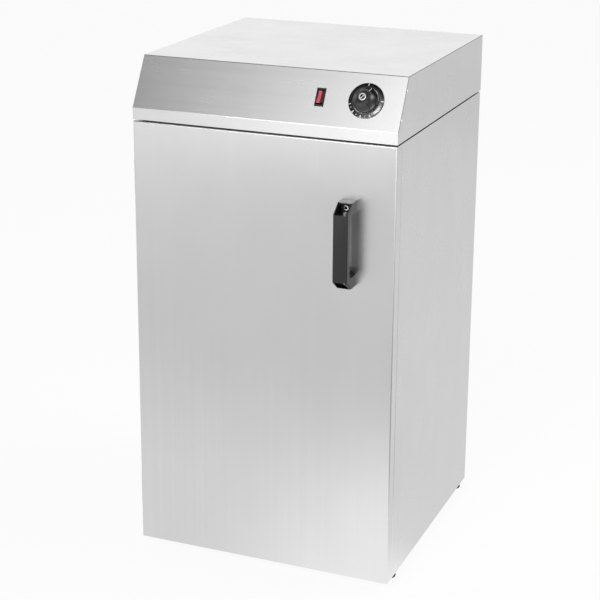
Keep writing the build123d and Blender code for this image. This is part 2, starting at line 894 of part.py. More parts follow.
def rocker():
    """Translucent rocker: two faces that meet in a shallow valley, tilted so that its upper end is pushed in."""
    half = rocker_length / 2
    low = rocker_pivot_depth + 4
    section = make_face(
        Polyline(
            (-half, 2.6), (0, 1.0), (half, 2.6), (half - 1.5, -2), (0, -low), (1.5 - half, -2),
            close=True,
        )
    )
    section = fillet(section.vertices().group_by(Axis.Y)[-1], 0.8)
    solid = extrude(Plane.YZ.offset(-rocker_width / 2) * section, rocker_width)
    pivot = Pos(0, 0, -rocker_pivot_depth)
    return switch_place * pivot * Rot(X=-rocker_throw) * Pos(0, 0, rocker_pivot_depth) * solid


# ---- Inlet and terminals ----
def cable_gland():
    """Cable gland through the hood's rear wall: hexagon, tapered cap and threaded tail, bored for the lead."""
    tail = extrude(RegularPolygon(gland_thread, round_sides), -gland_tail)
    cap = extrude(RegularPolygon(gland_radius - 1, round_sides), gland_projection, taper=10)
    gland = tail + cap + hexagon(2 * (gland_radius - 1), 0, gland_nut_height)
    gland -= Cylinder(gland_bore, 4 * gland_projection)
    return on_back(gland_x, depth, deck_z + gland_above_deck) * gland


def gland_nut():
    """Locknut of the gland inside the hood."""
    nut = hexagon(2 * gland_radius, -sheet - gland_nut_height, -sheet)
    nut -= extrude(
        RegularPolygon(gland_thread + seat, round_sides, major_radius=False), -4 * gland_nut_height
    )
    return on_back(gland_x, depth, deck_z + gland_above_deck) * nut


def terminal_block():
    """Moulded terminal block on the deck, a wire entry and a clamp screw to each pole."""
    length = terminal_pitch * terminal_count
    low = deck_z + sheet
    y = depth - terminal_from_back
    moulding = block(spread(terminal_x, length), spread(y, 24), (low, low + 8))
    for step in range(terminal_count):
        x = terminal_x + (step - (terminal_count - 1) / 2) * terminal_pitch
        moulding += block(spread(x, terminal_pitch - 2), spread(y, 20), (low, low + 18))
        for side in (-5, 5):
            moulding -= block(spread(x, 5), spread(y + side, 5), (low + 14, low + 20))
            moulding -= block(spread(x, 4), spread(y + 2 * side, 4), (low + 9, low + 13))
    return moulding


# ---- Door ----
def door_limits(inset):
    """Half width and z limits of the door's outline, set in by the same amount."""
    return width / 2 - inset, (body_bottom + inset, deck_z - inset)


def mouth_limits(outset):
    """Half width and z limits of the cavity's mouth, grown by the same amount."""
    return mouth_half + outset, (mouth_bottom - outset, mouth_top + outset)


def door_pan(inset, back):
    """The door's outline as a solid with rounded front edges."""
    half, z = door_limits(inset)
    pan = block((-half, half), (inset, back), z)
    return fillet(pan.edges().group_by(Axis.Y)[0], door_edge - inset)


def handle_screw_levels():
    """Heights of the handle's two screws."""
    middle = body_bottom + handle_middle
    return spread(middle, handle_length - 2 * handle_hole_inset)


def handle_x():
    """Middle of the handle across the door."""
    return width / 2 - handle_from_side


def on_front(x, y, z):
    """Place a part made along z so that it points out of the door's front at this point."""
    return Location((x, y, z), (90, 0, 0))


def door_skin():
    """Outer door pan: rounded front edges, deep returns and a narrow flange turned in at the back."""
    skin = door_pan(0, door_thickness) - door_pan(sheet, door_thickness - sheet)
    half, z = door_limits(skin_return)
    y = (door_thickness - 2 * sheet, door_thickness + sheet)
    skin -= block((-half, half), y, z)
    for level in handle_screw_levels():
        skin -= on_front(handle_x(), 0, level) * drill(screw_radius + hole_clearance, 4 * sheet)
    return skin


def door_inner_panel():
    """Pressed inner panel: a rim behind the skin's flange, a channel for the gasket and a raised field."""
    rim_back = door_thickness - sheet
    channel_front = rim_back - channel_depth
    outer = mouth_limits(channel_width - channel_inset)
    wall = mouth_limits(channel_width - channel_inset + sheet)
    inner = mouth_limits(-channel_inset)
    field = mouth_limits(-channel_inset - sheet)
    field_back = body_front + plug_depth
    panel = ring(*door_limits(sheet + fit), *outer, (rim_back - sheet, rim_back))
    panel += ring(*wall, *outer, (channel_front, rim_back))
    panel += ring(*wall, *field, (channel_front, channel_front + sheet))
    plug = block((-inner[0], inner[0]), (channel_front, field_back), inner[1])
    plug = fillet(plug.edges().group_by(Axis.Y)[-1], bend)
    hollow = block((-field[0], field[0]), (0, field_back - sheet), field[1])
    hollow = fillet(hollow.edges().group_by(Axis.Y)[-1], bend - sheet)
    return panel + (plug - hollow)


def door_insulation():
    """Slab that fills the door between its skin and the gasket channel."""
    half, z = mouth_limits(channel_width)
    y = (sheet, door_thickness - sheet - channel_depth)
    slab = block((-half, half), y, z)
    for level in handle_screw_levels():
        slab -= on_front(handle_x(), 0, level) * drill(2 * screw_head_radius, 4 * screw_length)
    return slab


def door_gasket():
    """Silicone seal in the door's channel that meets the flange round the cavity's mouth."""
    outer = mouth_limits(channel_width - channel_inset - gasket_side)
    inner = mouth_limits(gasket_side - channel_inset)
    y = (door_thickness - channel_depth, body_front - gasket_clearance)
    seal = ring(*outer, *inner, y)
    return chamfer(seal.edges().group_by(Axis.Y)[-1], 2)


def door_handle():
    """Bridge handle moulded in one piece: chamfered ends, a screw pocket in each chamfer, a rounded grip."""
    middle = body_bottom + handle_middle
    top = middle + handle_length / 2
    shoulder = handle_projection - handle_chamfer_depth
    bend_z = handle_length / 2 - handle_chamfer_height
    grip_top = handle_length / 2 - handle_leg
    back = handle_projection - handle_bar
    half = handle_length / 2
    outline = Polyline(
        (0, -half), (-shoulder, -half), (-handle_projection, -bend_z),
        (-handle_projection, bend_z), (-shoulder, half), (0, half), close=True,
    )
    solid = extrude(Plane.YZ.offset(-handle_width / 2) * make_face(outline), handle_width)
    front = solid.edges().filter_by(lambda e: e.center().Y < -shoulder / 2)
    sides = front.filter_by(lambda e: abs(e.center().X) > handle_width / 4)
    solid = fillet(sides.filter_by(lambda e: e.center().Y < -shoulder), handle_rounding)
    grip = block((-handle_width, handle_width), (-back, sheet), (-grip_top, grip_top))
    solid -= fillet(grip.edges().filter_by(Axis.X).group_by(Axis.Y)[0], grip_rounding)
    for side in (-1, 1):
        pocket_z = spread(side * (half - pocket_rim - pocket_length / 2), pocket_length)
        solid -= block(spread(0, pocket_width), (-2 * handle_projection, -pocket_floor), pocket_z)
        hole = drill(screw_radius + hole_clearance, 2 * handle_projection)
        solid -= on_front(0, 0, side * (half - handle_hole_inset)) * hole
    return Pos(handle_x(), 0, top - half) * solid


def handle_screws():
    """Two pan-head screws through the handle's pockets into the door."""
    length = pocket_floor + sheet + handle_screw_reach
    screw = pan_screw(handle_screw_head, handle_screw_head_height, screw_radius, length)
    screws = Part()
    for level in handle_screw_levels():
        screws += on_front(handle_x(), -pocket_floor - seat, level) * screw
    return screws


def handle_nuts():
    """Hexagon nuts of the handle's screws, inside the door skin."""
    nut = hexagon(handle_nut_flats, -sheet - handle_nut_height, -sheet)
    nut -= drill(screw_radius + seat, 4 * handle_nut_height)
    nuts = Part()
    for level in handle_screw_levels():
        nuts += on_front(handle_x(), 0, level) * nut
    return nuts


# ---- Lift-off hinges on the left ----
def hinge_middles():
    """Heights of the two hinges' middles."""
    return (body_bottom + hinge_end_inset, deck_z - hinge_end_inset)


def hinge_leaf_screws(y):
    """Places of a leaf's two screws: (y, offset from the hinge's middle)."""
    return [(y, side * hinge_screw_spread / 2) for side in (-1, 1)]


def leaf_screw_y(reach, side):
    """Depth of a leaf's screws; side is +1 for the frame's leaf and -1 for the door's."""
    return hinge_axis[1] + side * (knuckle_radius + reach) / 2


def knuckle(low, high):
    """A barrel about the hinge axis between two heights."""
    barrel = Cylinder(knuckle_radius, high - low)
    return Pos(*hinge_axis, (low + high) / 2) * barrel


def leaf(y_far, z):
    """A flat leaf on the cabinet's left face, from inside the knuckle, just past its axis, to the far edge."""
    near = hinge_axis[1]
    step = knuckle_radius * (1 if y_far > near else -1) / 4
    return block((-width / 2 - hinge_leaf, -width / 2), sorted((near + step, y_far)), z)


def frame_leaf(middle):
    """Hinge leaf on the side panel: its knuckle is the lower half of the barrel and holds the pin."""
    split = middle - washer_height / 2
    low = middle - hinge_height / 2
    plate = leaf(hinge_axis[1] + leaf_reach, spread(middle, hinge_height))
    half = plate + knuckle(low, split)
    half -= knuckle_room(split, middle + hinge_height)
    half -= Pos(*hinge_axis, middle) * Cylinder(hinge_pin_radius, hinge_height - 8)
    return half - leaf_holes(middle, leaf_screw_y(leaf_reach, 1))


def door_leaf(middle):
    """Hinge leaf on the door's edge: its knuckle is the upper half of the barrel and drops over the pin."""
    split = middle + washer_height / 2
    high = middle + hinge_height / 2
    plate = leaf(hinge_axis[1] - door_leaf_reach, spread(middle, hinge_height))
    half = plate + knuckle(split, high)
    half -= knuckle_room(middle - hinge_height, split)
    bore = Cylinder(hinge_pin_radius + running, hinge_height - 8 + 2 * pin_socket)
    half -= Pos(*hinge_axis, middle) * bore
    return half - leaf_holes(middle, leaf_screw_y(door_leaf_reach, -1))


def knuckle_room(low, high):
    """Room that a leaf leaves for the other leaf's knuckle."""
    room = 2 * knuckle_radius + 10 * washer_clearance
    return block(spread(hinge_axis[0], room), spread(hinge_axis[1], room), (low, high))


def leaf_holes(middle, y):
    """Screw holes through a leaf."""
    hole = Rot(Y=90) * drill(screw_radius - 2 * seat, 4 * hinge_leaf)
    holes = Part()
    for y, dz in hinge_leaf_screws(y):
        holes += Pos(-width / 2, y, middle + dz) * hole
    return holes


def hinge_pins():
    """Pins fixed in the frame leaves."""
    pins = Part()
    for middle in hinge_middles():
        pin = Cylinder(hinge_pin_radius, hinge_height - 8 - 2 * seat)
        pins += Pos(*hinge_axis, middle) * pin
    return pins


def hinge_washers():
    """Brass washers between the two halves of each barrel."""
    washers = Part()
    for middle in hinge_middles():
        height = washer_height - 2 * washer_clearance
        washer = Pos(0, 0, -height / 2) * extrude(RegularPolygon(knuckle_radius, round_sides), height)
        washer -= drill(hinge_pin_radius + running, 2 * washer_height)
        washers += Pos(*hinge_axis, middle - washer_clearance) * washer
    return washers


def hinge_screws(reach, side):
    """Pan-head screws of both leaves on one side of the axis."""
    screw = pan_screw(hinge_screw_head, hinge_screw_head_height, screw_radius - 2 * seat, hinge_leaf)
    screws = Part()
    for middle in hinge_middles():
        for y, dz in hinge_leaf_screws(leaf_screw_y(reach, side)):
            place = Location((-width / 2 - hinge_leaf - seat, y, middle + dz), (0, -90, 0))
            screws += place * screw
    return screws


def hinge_group(maker):
    """Both hinges' copies of one leaf."""
    group = Part()
    for middle in hinge_middles():
        group += maker(middle)
    return group


# ---- Magnetic catch ----
def catch_z():
    """Middle height of the top rail's face, where the catch sits."""
    return (mouth_top + mouth_flange + deck_z) / 2


def catch_housing():
    """Moulded case behind the top rail that holds the magnet."""
    y = (body_front + sheet, body_front + sheet + catch_depth)
    case = block(spread(catch_x, catch_width), y, spread(catch_z(), catch_height))
    room = block(
        spread(catch_x, magnet_width), (0, y[0] + catch_depth / 2), spread(catch_z(), magnet_height)
    )
    return case - room


def catch_magnet():
    """Magnet with its pole plates, standing just proud of the rail."""
    face = door_thickness + strike_thickness + catch_clearance
    y = (face, body_front + sheet + catch_depth / 2)
    magnet = block(spread(catch_x, magnet_width), y, spread(catch_z(), magnet_height))
    groove = block(
        spread(catch_x, magnet_width + sheet), (face - sheet, face + sheet), spread(catch_z(), 3)
    )
    return magnet - groove


def strike_plate():
    """Steel keeper spot-welded to the door skin's rear flange, facing the magnet."""
    y = (door_thickness, door_thickness + strike_thickness)
    plate = block(spread(catch_x, strike_width), y, spread(catch_z(), strike_height))
    return fillet(plate.edges().filter_by(Axis.Y), 1.5)


# ---- Every piece, by name ----
pieces = {
    "hood": hood(),
    "hood_rivets": hood_rivets(),
    "hood_screws": hood_screws(),
    "deck_panel": deck_panel(),
    "side_panel_right": side_panel(),
    "side_panel_left": mirror(side_panel(), about=Plane.YZ),
    "back_panel": back_panel(),
    "back_screws": back_screws(),
    "base_pan": base_pan(),
    "feet": feet(),
    "foot_bolts": foot_bolts(),
    "foot_nuts": foot_nuts(),
    "front_rail_top": front_rail_top(),
    "front_rail_bottom": front_rail_bottom(),
    "liner_wrap": liner_wrap(),
    "liner_floor": liner_floor(),
    "liner_back": liner_back(),
    "insulation_sides": insulation_sides(),
    "insulation_back": insulation_back(),
    "insulation_top": insulation_top(),
    "insulation_floor": insulation_floor(),
    "shelf_runners_right": shelf_runners(),
    "shelf_runners_left": mirror(shelf_runners(), about=Plane.YZ),
    "wire_shelf_lower": wire_shelf(shelf_levels[0]),
    "wire_shelf_upper": wire_shelf(shelf_levels[1]),
    "heater_element": heater_element(),
    "heater_end_nuts": heater_end_nuts(),
    "heater_supports": heater_supports(),
    "heater_cover": heater_cover(),
    "dial_ring": dial_ring(),
    "knob": knob(),
    "knob_cap": knob_cap(),
    "thermostat_shaft": thermostat_shaft(),
    "thermostat_body": thermostat_body(),
    "thermostat_screws": thermostat_screws(),
    "thermostat_bulb": thermostat_bulb(),
    "bulb_clips": bulb_clips(),
    "switch_housing": switch_housing(),
    "rocker": rocker(),
    "cable_gland": cable_gland(),
    "gland_nut": gland_nut(),
    "terminal_block": terminal_block(),
    "door_skin": door_skin(),
    "door_inner_panel": door_inner_panel(),
    "door_insulation": door_insulation(),
    "door_gasket": door_gasket(),
    "door_handle": door_handle(),
    "handle_screws": handle_screws(),
    "handle_nuts": handle_nuts(),
    "hinge_frame_leaves": hinge_group(frame_leaf),
    "hinge_door_leaves": hinge_group(door_leaf),
    "hinge_pins": hinge_pins(),
    "hinge_washers": hinge_washers(),
    "hinge_frame_screws": hinge_screws(leaf_reach, 1),
    "hinge_door_screws": hinge_screws(door_leaf_reach, -1),
    "catch_housing": catch_housing(),
    "catch_magnet": catch_magnet(),
    "strike_plate": strike_plate(),
}

os.makedirs("parts", exist_ok=True)
for name, piece in pieces.items():
    export_step(Pos(to_origin) * piece, os.path.join("parts", name + ".step"))
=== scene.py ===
import bmesh
import bpy
import numpy as np
from mathutils import Matrix, Vector


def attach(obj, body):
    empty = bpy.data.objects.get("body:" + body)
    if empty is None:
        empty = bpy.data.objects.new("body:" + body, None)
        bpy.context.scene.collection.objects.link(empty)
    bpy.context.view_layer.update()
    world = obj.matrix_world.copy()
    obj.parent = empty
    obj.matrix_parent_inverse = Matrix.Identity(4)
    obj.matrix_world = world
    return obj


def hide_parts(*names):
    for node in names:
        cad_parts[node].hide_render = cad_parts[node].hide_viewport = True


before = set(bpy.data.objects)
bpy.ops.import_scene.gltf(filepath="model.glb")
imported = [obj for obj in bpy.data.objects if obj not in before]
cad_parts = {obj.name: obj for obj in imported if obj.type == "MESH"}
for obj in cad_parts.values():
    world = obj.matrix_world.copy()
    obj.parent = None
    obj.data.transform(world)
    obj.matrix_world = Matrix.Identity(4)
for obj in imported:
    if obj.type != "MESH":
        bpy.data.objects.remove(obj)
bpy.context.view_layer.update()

# Plate warmer cabinet, in the order in which it is put together: casing, base, cavity, shelves, heater, hood
# with its controls, door with handle and seal, hinges and catch. The studio comes last.
# x runs to the cabinet's right, y to its back and z up from the floor, in metres.


# ---- Casing ----
# Side panels and front rails are 0.8 mm stainless sheet (1.4301), laser cut and folded, brushed along the coil.
# The eye gets fine upright scratches, a reflection drawn out across them and a few soft smudges.
def linear(colour):
    """sRGB hex to linear RGBA: straight below 0.04045, a power of 2.4 above."""
    s = np.array([int(colour[i:i + 2], 16) for i in (1, 3, 5)]) / 255
    return (*np.where(s <= 0.04045, s / 12.92, ((s + 0.055) / 1.055) ** 2.4), 1.0)


def add(tree, kind, sockets, **settings):
    """A shader node with its settings, and its inputs set from values or linked from other nodes' outputs."""
    node = tree.nodes.new("ShaderNode" + kind)
    for name, value in settings.items():
        setattr(node, name, value)
    for name, value in sockets.items():
        if isinstance(value, bpy.types.NodeSocket):
            tree.links.new(value, node.inputs[name])
        else:
            node.inputs[name].default_value = value
    return node


def material(name, sockets):
    """A new material: returns it, its node tree, its shader and the Object coordinates in metres."""
    made = bpy.data.materials.new(name)
    made.use_nodes = True
    tree = made.node_tree
    shader = tree.nodes["Principled BSDF"]
    for socket, value in sockets.items():
        shader.inputs[socket].default_value = value
    return made, tree, shader, add(tree, "TexCoord", {}).outputs["Object"]


def noise(tree, where, spacing, low, high, detail=2.0):
    """A noise with this spacing in mm along x, y and z, its usual 0.3 to 0.7 stretched to the limits given."""
    per_metre = [1000 / mm for mm in spacing]
    scaled = add(tree, "VectorMath", {0: where, 1: per_metre}, operation="MULTIPLY").outputs[0]
    cells = add(tree, "TexNoise", {"Vector": scaled, "Scale": 1.0, "Detail": detail}).outputs[0]
    return add(tree, "MapRange", {"Value": cells, 1: 0.3, 2: 0.7, 3: low, 4: high}, clamp=False).outputs[0]


def shaded(tree, shader, colour, *tones):
    """The colour times one plus every tone, on the shader's base colour."""
    total = 1.0
    for tone in tones:
        total = add(tree, "Math", {0: total, 1: tone}).outputs[0]
    tint = add(tree, "VectorMath", {0: linear(colour)[:3], "Scale": total}, operation="SCALE")
    tree.links.new(tint.outputs[0], shader.inputs["Base Color"])


def roughened(tree, shader, *changes):
    """The shader's own roughness plus every change."""
    total = shader.inputs["Roughness"].default_value
    for change in changes:
        total = add(tree, "Math", {0: total, 1: change}).outputs[0]
    tree.links.new(total, shader.inputs["Roughness"])


def stepped(tree, value, stops):
    """A smooth curve through (value, level) stops, drawn by a ramp. Its colours stop at 1, so they hold a quarter
    of each level, which is made good after it."""
    full = 4.0
    low, high = stops[0][0], stops[-1][0]
    place = add(tree, "MapRange", {"Value": value, 1: low, 2: high}).outputs[0]
    ramp = add(tree, "ValToRGB", {0: place})
    ramp.color_ramp.interpolation = "EASE"
    points = ramp.color_ramp.elements
    for _ in stops[2:]:
        points.new(0.5)
    for point, (at, _) in zip(points, stops):
        point.position = (at - low) / (high - low)
    for point, (_, level) in zip(points, stops):
        point.color = (level / full, level / full, level / full, 1)
    return add(tree, "Math", {0: ramp.outputs[0], 1: full}, operation="MULTIPLY").outputs[0]


def bumped(tree, shader, height, distance, strength=1.0):
    """A bump whose height runs from 0 to 1 over this distance in metres."""
    bump = add(tree, "Bump", {"Height": height, "Distance": distance, "Strength": strength})
    tree.links.new(bump.outputs[0], shader.inputs["Normal"])


def coat(made, *nodes):
    """Give one material to these CAD nodes."""
    for node in nodes:
        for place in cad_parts[node].material_slots:
            place.material = made


def brushed(name, scratch, upright, colour, rough, shade, apart, seams=()):
    """Brushed stainless: scratches along one direction, or upright where the sheet faces that way (a cheek).
    They lie 0.3 mm apart on the sheet, and are drawn a few mm apart and in wider bands to show from here. A shaded
    rim is a cheek's dark joint widened into a band of painted shade that stands for the bend's dark reflection:
    all that lies past a level along its direction."""
    seam_tone = -0.55
    steel = {"Metallic": 1.0, "Roughness": rough, "Anisotropic": 0.7}
    made, tree, shader, where = material(name, steel)
    fine = noise(tree, where, [1500 if axis else apart for axis in scratch], -shade, shade)
    bands = noise(tree, where, [2500 if axis else 5 * apart for axis in scratch], -shade, shade)
    clouds = noise(tree, where, (80, 80, 110), -0.012, 0.012, 3.0)
    normal = add(tree, "NewGeometry", {}).outputs["Normal"]
    facing = add(tree, "VectorMath", {0: normal, 1: scratch}, operation="DOT_PRODUCT").outputs["Value"]
    facing = add(tree, "Math", {0: facing}, operation="ABSOLUTE").outputs[0]
    end_on = add(tree, "Math", {0: facing, 1: 0.7}, operation="GREATER_THAN").outputs[0]
    tones = [fine, bands, clouds]
    # Painted shade: end-on faces past each rim's level are darkened.
    for out, level in seams:
        along = add(tree, "VectorMath", {0: where, 1: out}, operation="DOT_PRODUCT").outputs["Value"]
        past = add(tree, "Math", {0: along, 1: level}, operation="GREATER_THAN").outputs[0]
        share = add(tree, "Math", {0: past, 1: end_on}, operation="MULTIPLY").outputs[0]
        tones.append(add(tree, "Math", {0: share, 1: seam_tone}, operation="MULTIPLY").outputs[0])
    shaded(tree, shader, colour, *tones)
    roughened(tree, shader, fine, noise(tree, where, (70, 70, 90), -0.015, 0.025, 3.0))
    line = add(tree, "Mix", {0: end_on, 4: scratch, 5: upright}, data_type="VECTOR").outputs[1]
    tangent = add(tree, "VectorMath", {0: normal, 1: line}, operation="CROSS_PRODUCT")
    tree.links.new(tangent.outputs[0], shader.inputs["Tangent"])
    return made


across_x, upright_z = (1.0, 0.0, 0.0), (0.0, 0.0, 1.0)
casing_steel = brushed(
    "stainless_brushed_upright", upright_z, across_x, "#e2e2e2", rough=0.28, shade=0.005, apart=6
)
coat(casing_steel, "side_panel_right", "side_panel_left", "front_rail_top", "front_rail_bottom", "strike_plate")


# ---- Back, deck and base ----
# Galvanised steel sheet closes the back, the bottom and the deck under the hood. Hot-dipped zinc: matt grey
# with pale crystal flakes about 8 mm across.
def galvanised():
    """Every flake, a Voronoi cell, has its own grey and its own gloss."""
    flake_mm = 8
    made, tree, shader, where = material("galvanised_sheet", {"Metallic": 0.9, "Roughness": 0.42})
    scaled = add(tree, "VectorMath", {0: where, "Scale": 1000 / flake_mm}, operation="SCALE")
    cell = add(tree, "TexVoronoi", {"Vector": scaled.outputs[0], "Scale": 1.0}).outputs["Color"]
    flake = add(tree, "SeparateColor", {0: cell}).outputs[0]
    tone = add(tree, "MapRange", {"Value": flake, 3: -0.1, 4: 0.1}).outputs[0]
    shaded(tree, shader, "#bfc3c6", tone, noise(tree, where, (60, 60, 60), -0.03, 0.03))
    roughened(tree, shader, tone)
    return made


coat(galvanised(), "base_pan", "deck_panel", "back_panel")


# Plated screws: pan heads with a cross recess and a rolled thread, bright zinc with a faint blue cast.
def zinc_plated():
    """Zinc plate: soft gloss, faint blue, with a fine grain from the barrel."""
    made, tree, shader, where = material("zinc_plated_steel", {"Metallic": 1.0, "Roughness": 0.26})
    shaded(tree, shader, "#d3d6d9", noise(tree, where, (2, 2, 2), -0.05, 0.05))
    roughened(tree, shader, noise(tree, where, (3, 3, 3), -0.05, 0.08))
    return made


def piece(name, mesh, made, body, slot, *nodes):
    """An object from a mesh: its material, the body it moves with and the nodes it stands for. Its finish (slot)
    is not used.
    """
    mesh.materials.clear()
    mesh.materials.append(made)
    formed = bpy.data.objects.new(name, mesh)
    bpy.context.scene.collection.objects.link(formed)
    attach(formed, body)
    if nodes:
        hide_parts(*nodes)
    return formed


def surface(name, grids, crease=35):
    """A mesh from points shaped (copies, rows, columns, xyz): a quad between each four neighbours, the last
    column joined to the first, points that meet at a pole or a seam merged, and edges over the crease angle
    sharp."""
    grids = np.asarray(grids, dtype=float)
    index = np.arange(grids[..., 0].size).reshape(grids.shape[:3])
    beside = np.roll(index, -1, axis=2)
    quads = np.stack([index[:, :-1], index[:, 1:], beside[:, 1:], beside[:, :-1]], axis=-1).reshape(-1, 4)
    mesh = bpy.data.meshes.new(name)
    mesh.from_pydata(grids.reshape(-1, 3).tolist(), [], quads.tolist())
    shape = bmesh.new()
    shape.from_mesh(mesh)
    bmesh.ops.remove_doubles(shape, verts=shape.verts, dist=1e-7)
    bmesh.ops.recalc_face_normals(shape, faces=shape.faces)
    shape.to_mesh(mesh)
    shape.free()
    mesh.shade_smooth()
    mesh.set_sharp_from_angle(angle=np.radians(crease))
    return mesh


def around(sides):
    """Angles round a full turn, the last one short of the first."""
    return np.linspace(0, 2 * np.pi, sides, endpoint=False)


def set_out(radius, angle, height, centres, axis, start):
    """Points at radius, angle and height (mm, broadcast together) about an axis from each centre (metres):
    centre + height · axis + radius · (cos angle · start + sin angle · axis × start)."""
    axis, start = np.asarray(axis, float), np.asarray(start, float)
    radius, angle, height = (part[..., None] for part in np.broadcast_arrays(radius, angle, height))
    local = height * axis + radius * (np.cos(angle) * start + np.sin(angle) * np.cross(axis, start))
    return np.asarray(centres, float)[:, None, None, :] + local / 1000


def profile(*points):
    """Radii and heights of a half section, as columns."""
    radii, heights = np.array(points, float).T
    return radii[:, None], heights[:, None]


def screws(name, node, body, finish, centres, axis, start, head, height, shank, length, socket=False):
    """Screws: a domed head, its edge a quarter ellipse, with a cross recess where min(|x|, |y|) is under its
    width, or a flat head with a hexagon socket where r · cos(angle from the nearest flat) is under half the head;
    then a shank whose thread is a triangle wave of height/pitch - turn/360."""
    sides, pitch, thread_depth = 48, 0.7, 0.16
    angle = around(sides)
    crown = np.linspace(0, 1, 17)[:, None] * (head - 0.25)
    dome = height * (0.62 + 0.38 * np.sqrt(1 - (crown / head) ** 2))
    x, y = np.abs(crown * np.cos(angle)), np.abs(crown * np.sin(angle))
    recess = (np.minimum(x, y) < 0.13 * head) & (np.maximum(x, y) < 0.62 * head)
    edge = 0.45 * height
    if socket:
        dome, edge = height + 0 * crown, height - 0.25
        recess = crown * np.cos((angle + np.pi / 6) % (np.pi / 3) - np.pi / 6) < 0.5 * head
    top = dome - 0.55 * height * recess
    run = np.linspace(0, length, int(length / 0.175) + 2)[:, None]
    thread = thread_depth * np.abs((run / pitch - angle / (2 * np.pi)) % 1 * 2 - 1)
    point = np.clip((length - run) / pitch, 0, 1) * 0.7 + 0.3
    rim, zero = np.full((1, sides), head), np.zeros((1, sides))
    radii = np.concatenate([crown + zero, rim, rim, (shank - thread) * point, zero])
    heights = np.concatenate([top, edge + zero, zero, zero - run, zero - length])
    grids = set_out(radii, angle, heights, centres, axis, start)
    return piece(name, surface(name, grids, 40), finish, body, "screws", node)


zinc = zinc_plated()
coat(zinc, "foot_bolts", "foot_nuts", "handle_nuts", "thermostat_shaft", "thermostat_screws", "hinge_pins")

# The cabinet's middle, the faces of its door and its back, and the clearance under a screw's head.
MIDDLE, FRONT, BACK = 0.00365, -0.213, 0.237
SEAT = 0.00005
back_places = [(side * 0.2175 + MIDDLE, BACK + SEAT, z) for side in (-1, 1) for z in (0.048, 0.3845, 0.721)]
to_back, up = (0, 1, 0), (0, 0, 1)
pan_head = {"head": 4.0, "height": 2.4, "shank": 2.0, "length": 7.0}
screws("back_screws_domed", "back_screws", "cabinet", zinc, back_places, to_back, up, **pan_head)


# Four moulded rubber feet, tapered, each bolted up through a counterbore. Matt black with a soft edge.
def rubber():
    """Moulded rubber: matt, with a fine grain and a grey bloom."""
    made, tree, shader, where = material("moulded_rubber", {"Roughness": 0.75})
    shaded(tree, shader, "#242425", noise(tree, where, (6, 6, 6), -0.25, 0.25))
    bumped(tree, shader, noise(tree, where, (0.8, 0.8, 0.8), 0, 1), 0.0001)
    return made


foot_places = [(side * 0.206 + MIDDLE, inset + FRONT, 0) for side in (-1, 1) for inset in (0.057, 0.430)]
foot_section = profile(
    (3.3, 14), (11.4, 14), (11.9, 13.8), (12.1, 13.3), (13.3, 8), (14.6, 2.2), (14.7, 1.2), (14.4, 0.4),
    (13.6, 0), (7.4, 0), (7, 0.4), (7, 6.5), (3.3, 6.5), (3.3, 14),
)
foot_grids = set_out(foot_section[0], around(64), foot_section[1], foot_places, (0, 0, 1), (1, 0, 0))
piece("feet_moulded", surface("feet_moulded", foot_grids), rubber(), "cabinet", "foot_rubber", "feet")


# ---- Cavity ----
# Liner, runners and inner door panel are unbrushed 2B stainless: a soft grey gloss with a faint rolled grain.
def mill_finish():
    """2B sheet: pickled and skin-passed, so the gloss is even and only faintly cloudy."""
    made, tree, shader, where = material("stainless_2b_sheet", {"Metallic": 1.0, "Roughness": 0.34})
    shaded(tree, shader, "#d6d6d4", noise(tree, where, (40, 40, 40), -0.03, 0.03, 3.0))
    roughened(tree, shader, noise(tree, where, (25, 25, 25), -0.03, 0.04))
    return made


liner_steel = mill_finish()
coat(liner_steel, "liner_wrap", "liner_floor", "liner_back", "shelf_runners_right", "shelf_runners_left")
coat(liner_steel, "heater_cover", "heater_supports", "bulb_clips", "door_inner_panel")


# Mineral wool slabs fill the walls and the door: dull straw yellow, with fibres lying in the slab.
def mineral_wool():
    """Slab wool: long fibres across the slab, tufts and hollows between them."""
    made, tree, shader, where = material("mineral_wool_slab", {"Roughness": 0.95, "Sheen Weight": 0.3})
    fibres = noise(tree, where, (1.2, 1.2, 14), -0.25, 0.25, 6.0)
    shaded(tree, shader, "#b9a878", fibres, noise(tree, where, (9, 9, 9), -0.15, 0.15, 4.0))
    bumped(tree, shader, fibres, 0.0012)
    return made


wool = mineral_wool()
coat(wool, "insulation_sides", "insulation_back", "insulation_top", "insulation_floor", "door_insulation")


# Two wire shelves: a border rod bent to a frame and closed, ten plate wires welded over it and two stays under
# them. Bright nickel-chrome plate over mild steel wire. Each wire sinks 0.6 mm into the one it is welded to.
def plated_wire():
    """Bright plate over drawn wire, with a slight haze."""
    made, tree, shader, where = material("nickel_chrome_wire", {"Metallic": 1.0, "Roughness": 0.16})
    shaded(tree, shader, "#dcdddf", noise(tree, where, (5, 5, 5), -0.04, 0.04))
    roughened(tree, shader, noise(tree, where, (12, 12, 12), -0.03, 0.06))
    return made


def unit(vectors):
    """The same directions at length one."""
    vectors = np.asarray(vectors, float)
    return vectors / np.linalg.norm(vectors, axis=-1, keepdims=True)


def tube(path, flat, radius, sides=16, closed=False):
    """A round section along a path (metres) that lies square to one direction:
    path + radius · (cos a · (flat × tangent) + sin a · flat), its ends drawn in to a point or joined in a loop."""
    path = np.asarray(path, float)
    if closed:
        tangent = unit(np.roll(path, -1, axis=0) - np.roll(path, 1, axis=0))
    else:
        tangent = unit(np.gradient(path, axis=0))
    angle = around(sides)[:, None]
    ring = np.cos(angle) * np.cross(flat, tangent)[:, None, :] + np.sin(angle) * np.asarray(flat, float)
    grid = path[:, None, :] + radius / 1000 * ring
    if closed:
        return np.concatenate([grid, grid[:1]])
    ends = [np.repeat(path[end][None, None, :], sides, axis=1) for end in (0, -1)]
    return np.concatenate([ends[0], grid, ends[1]])


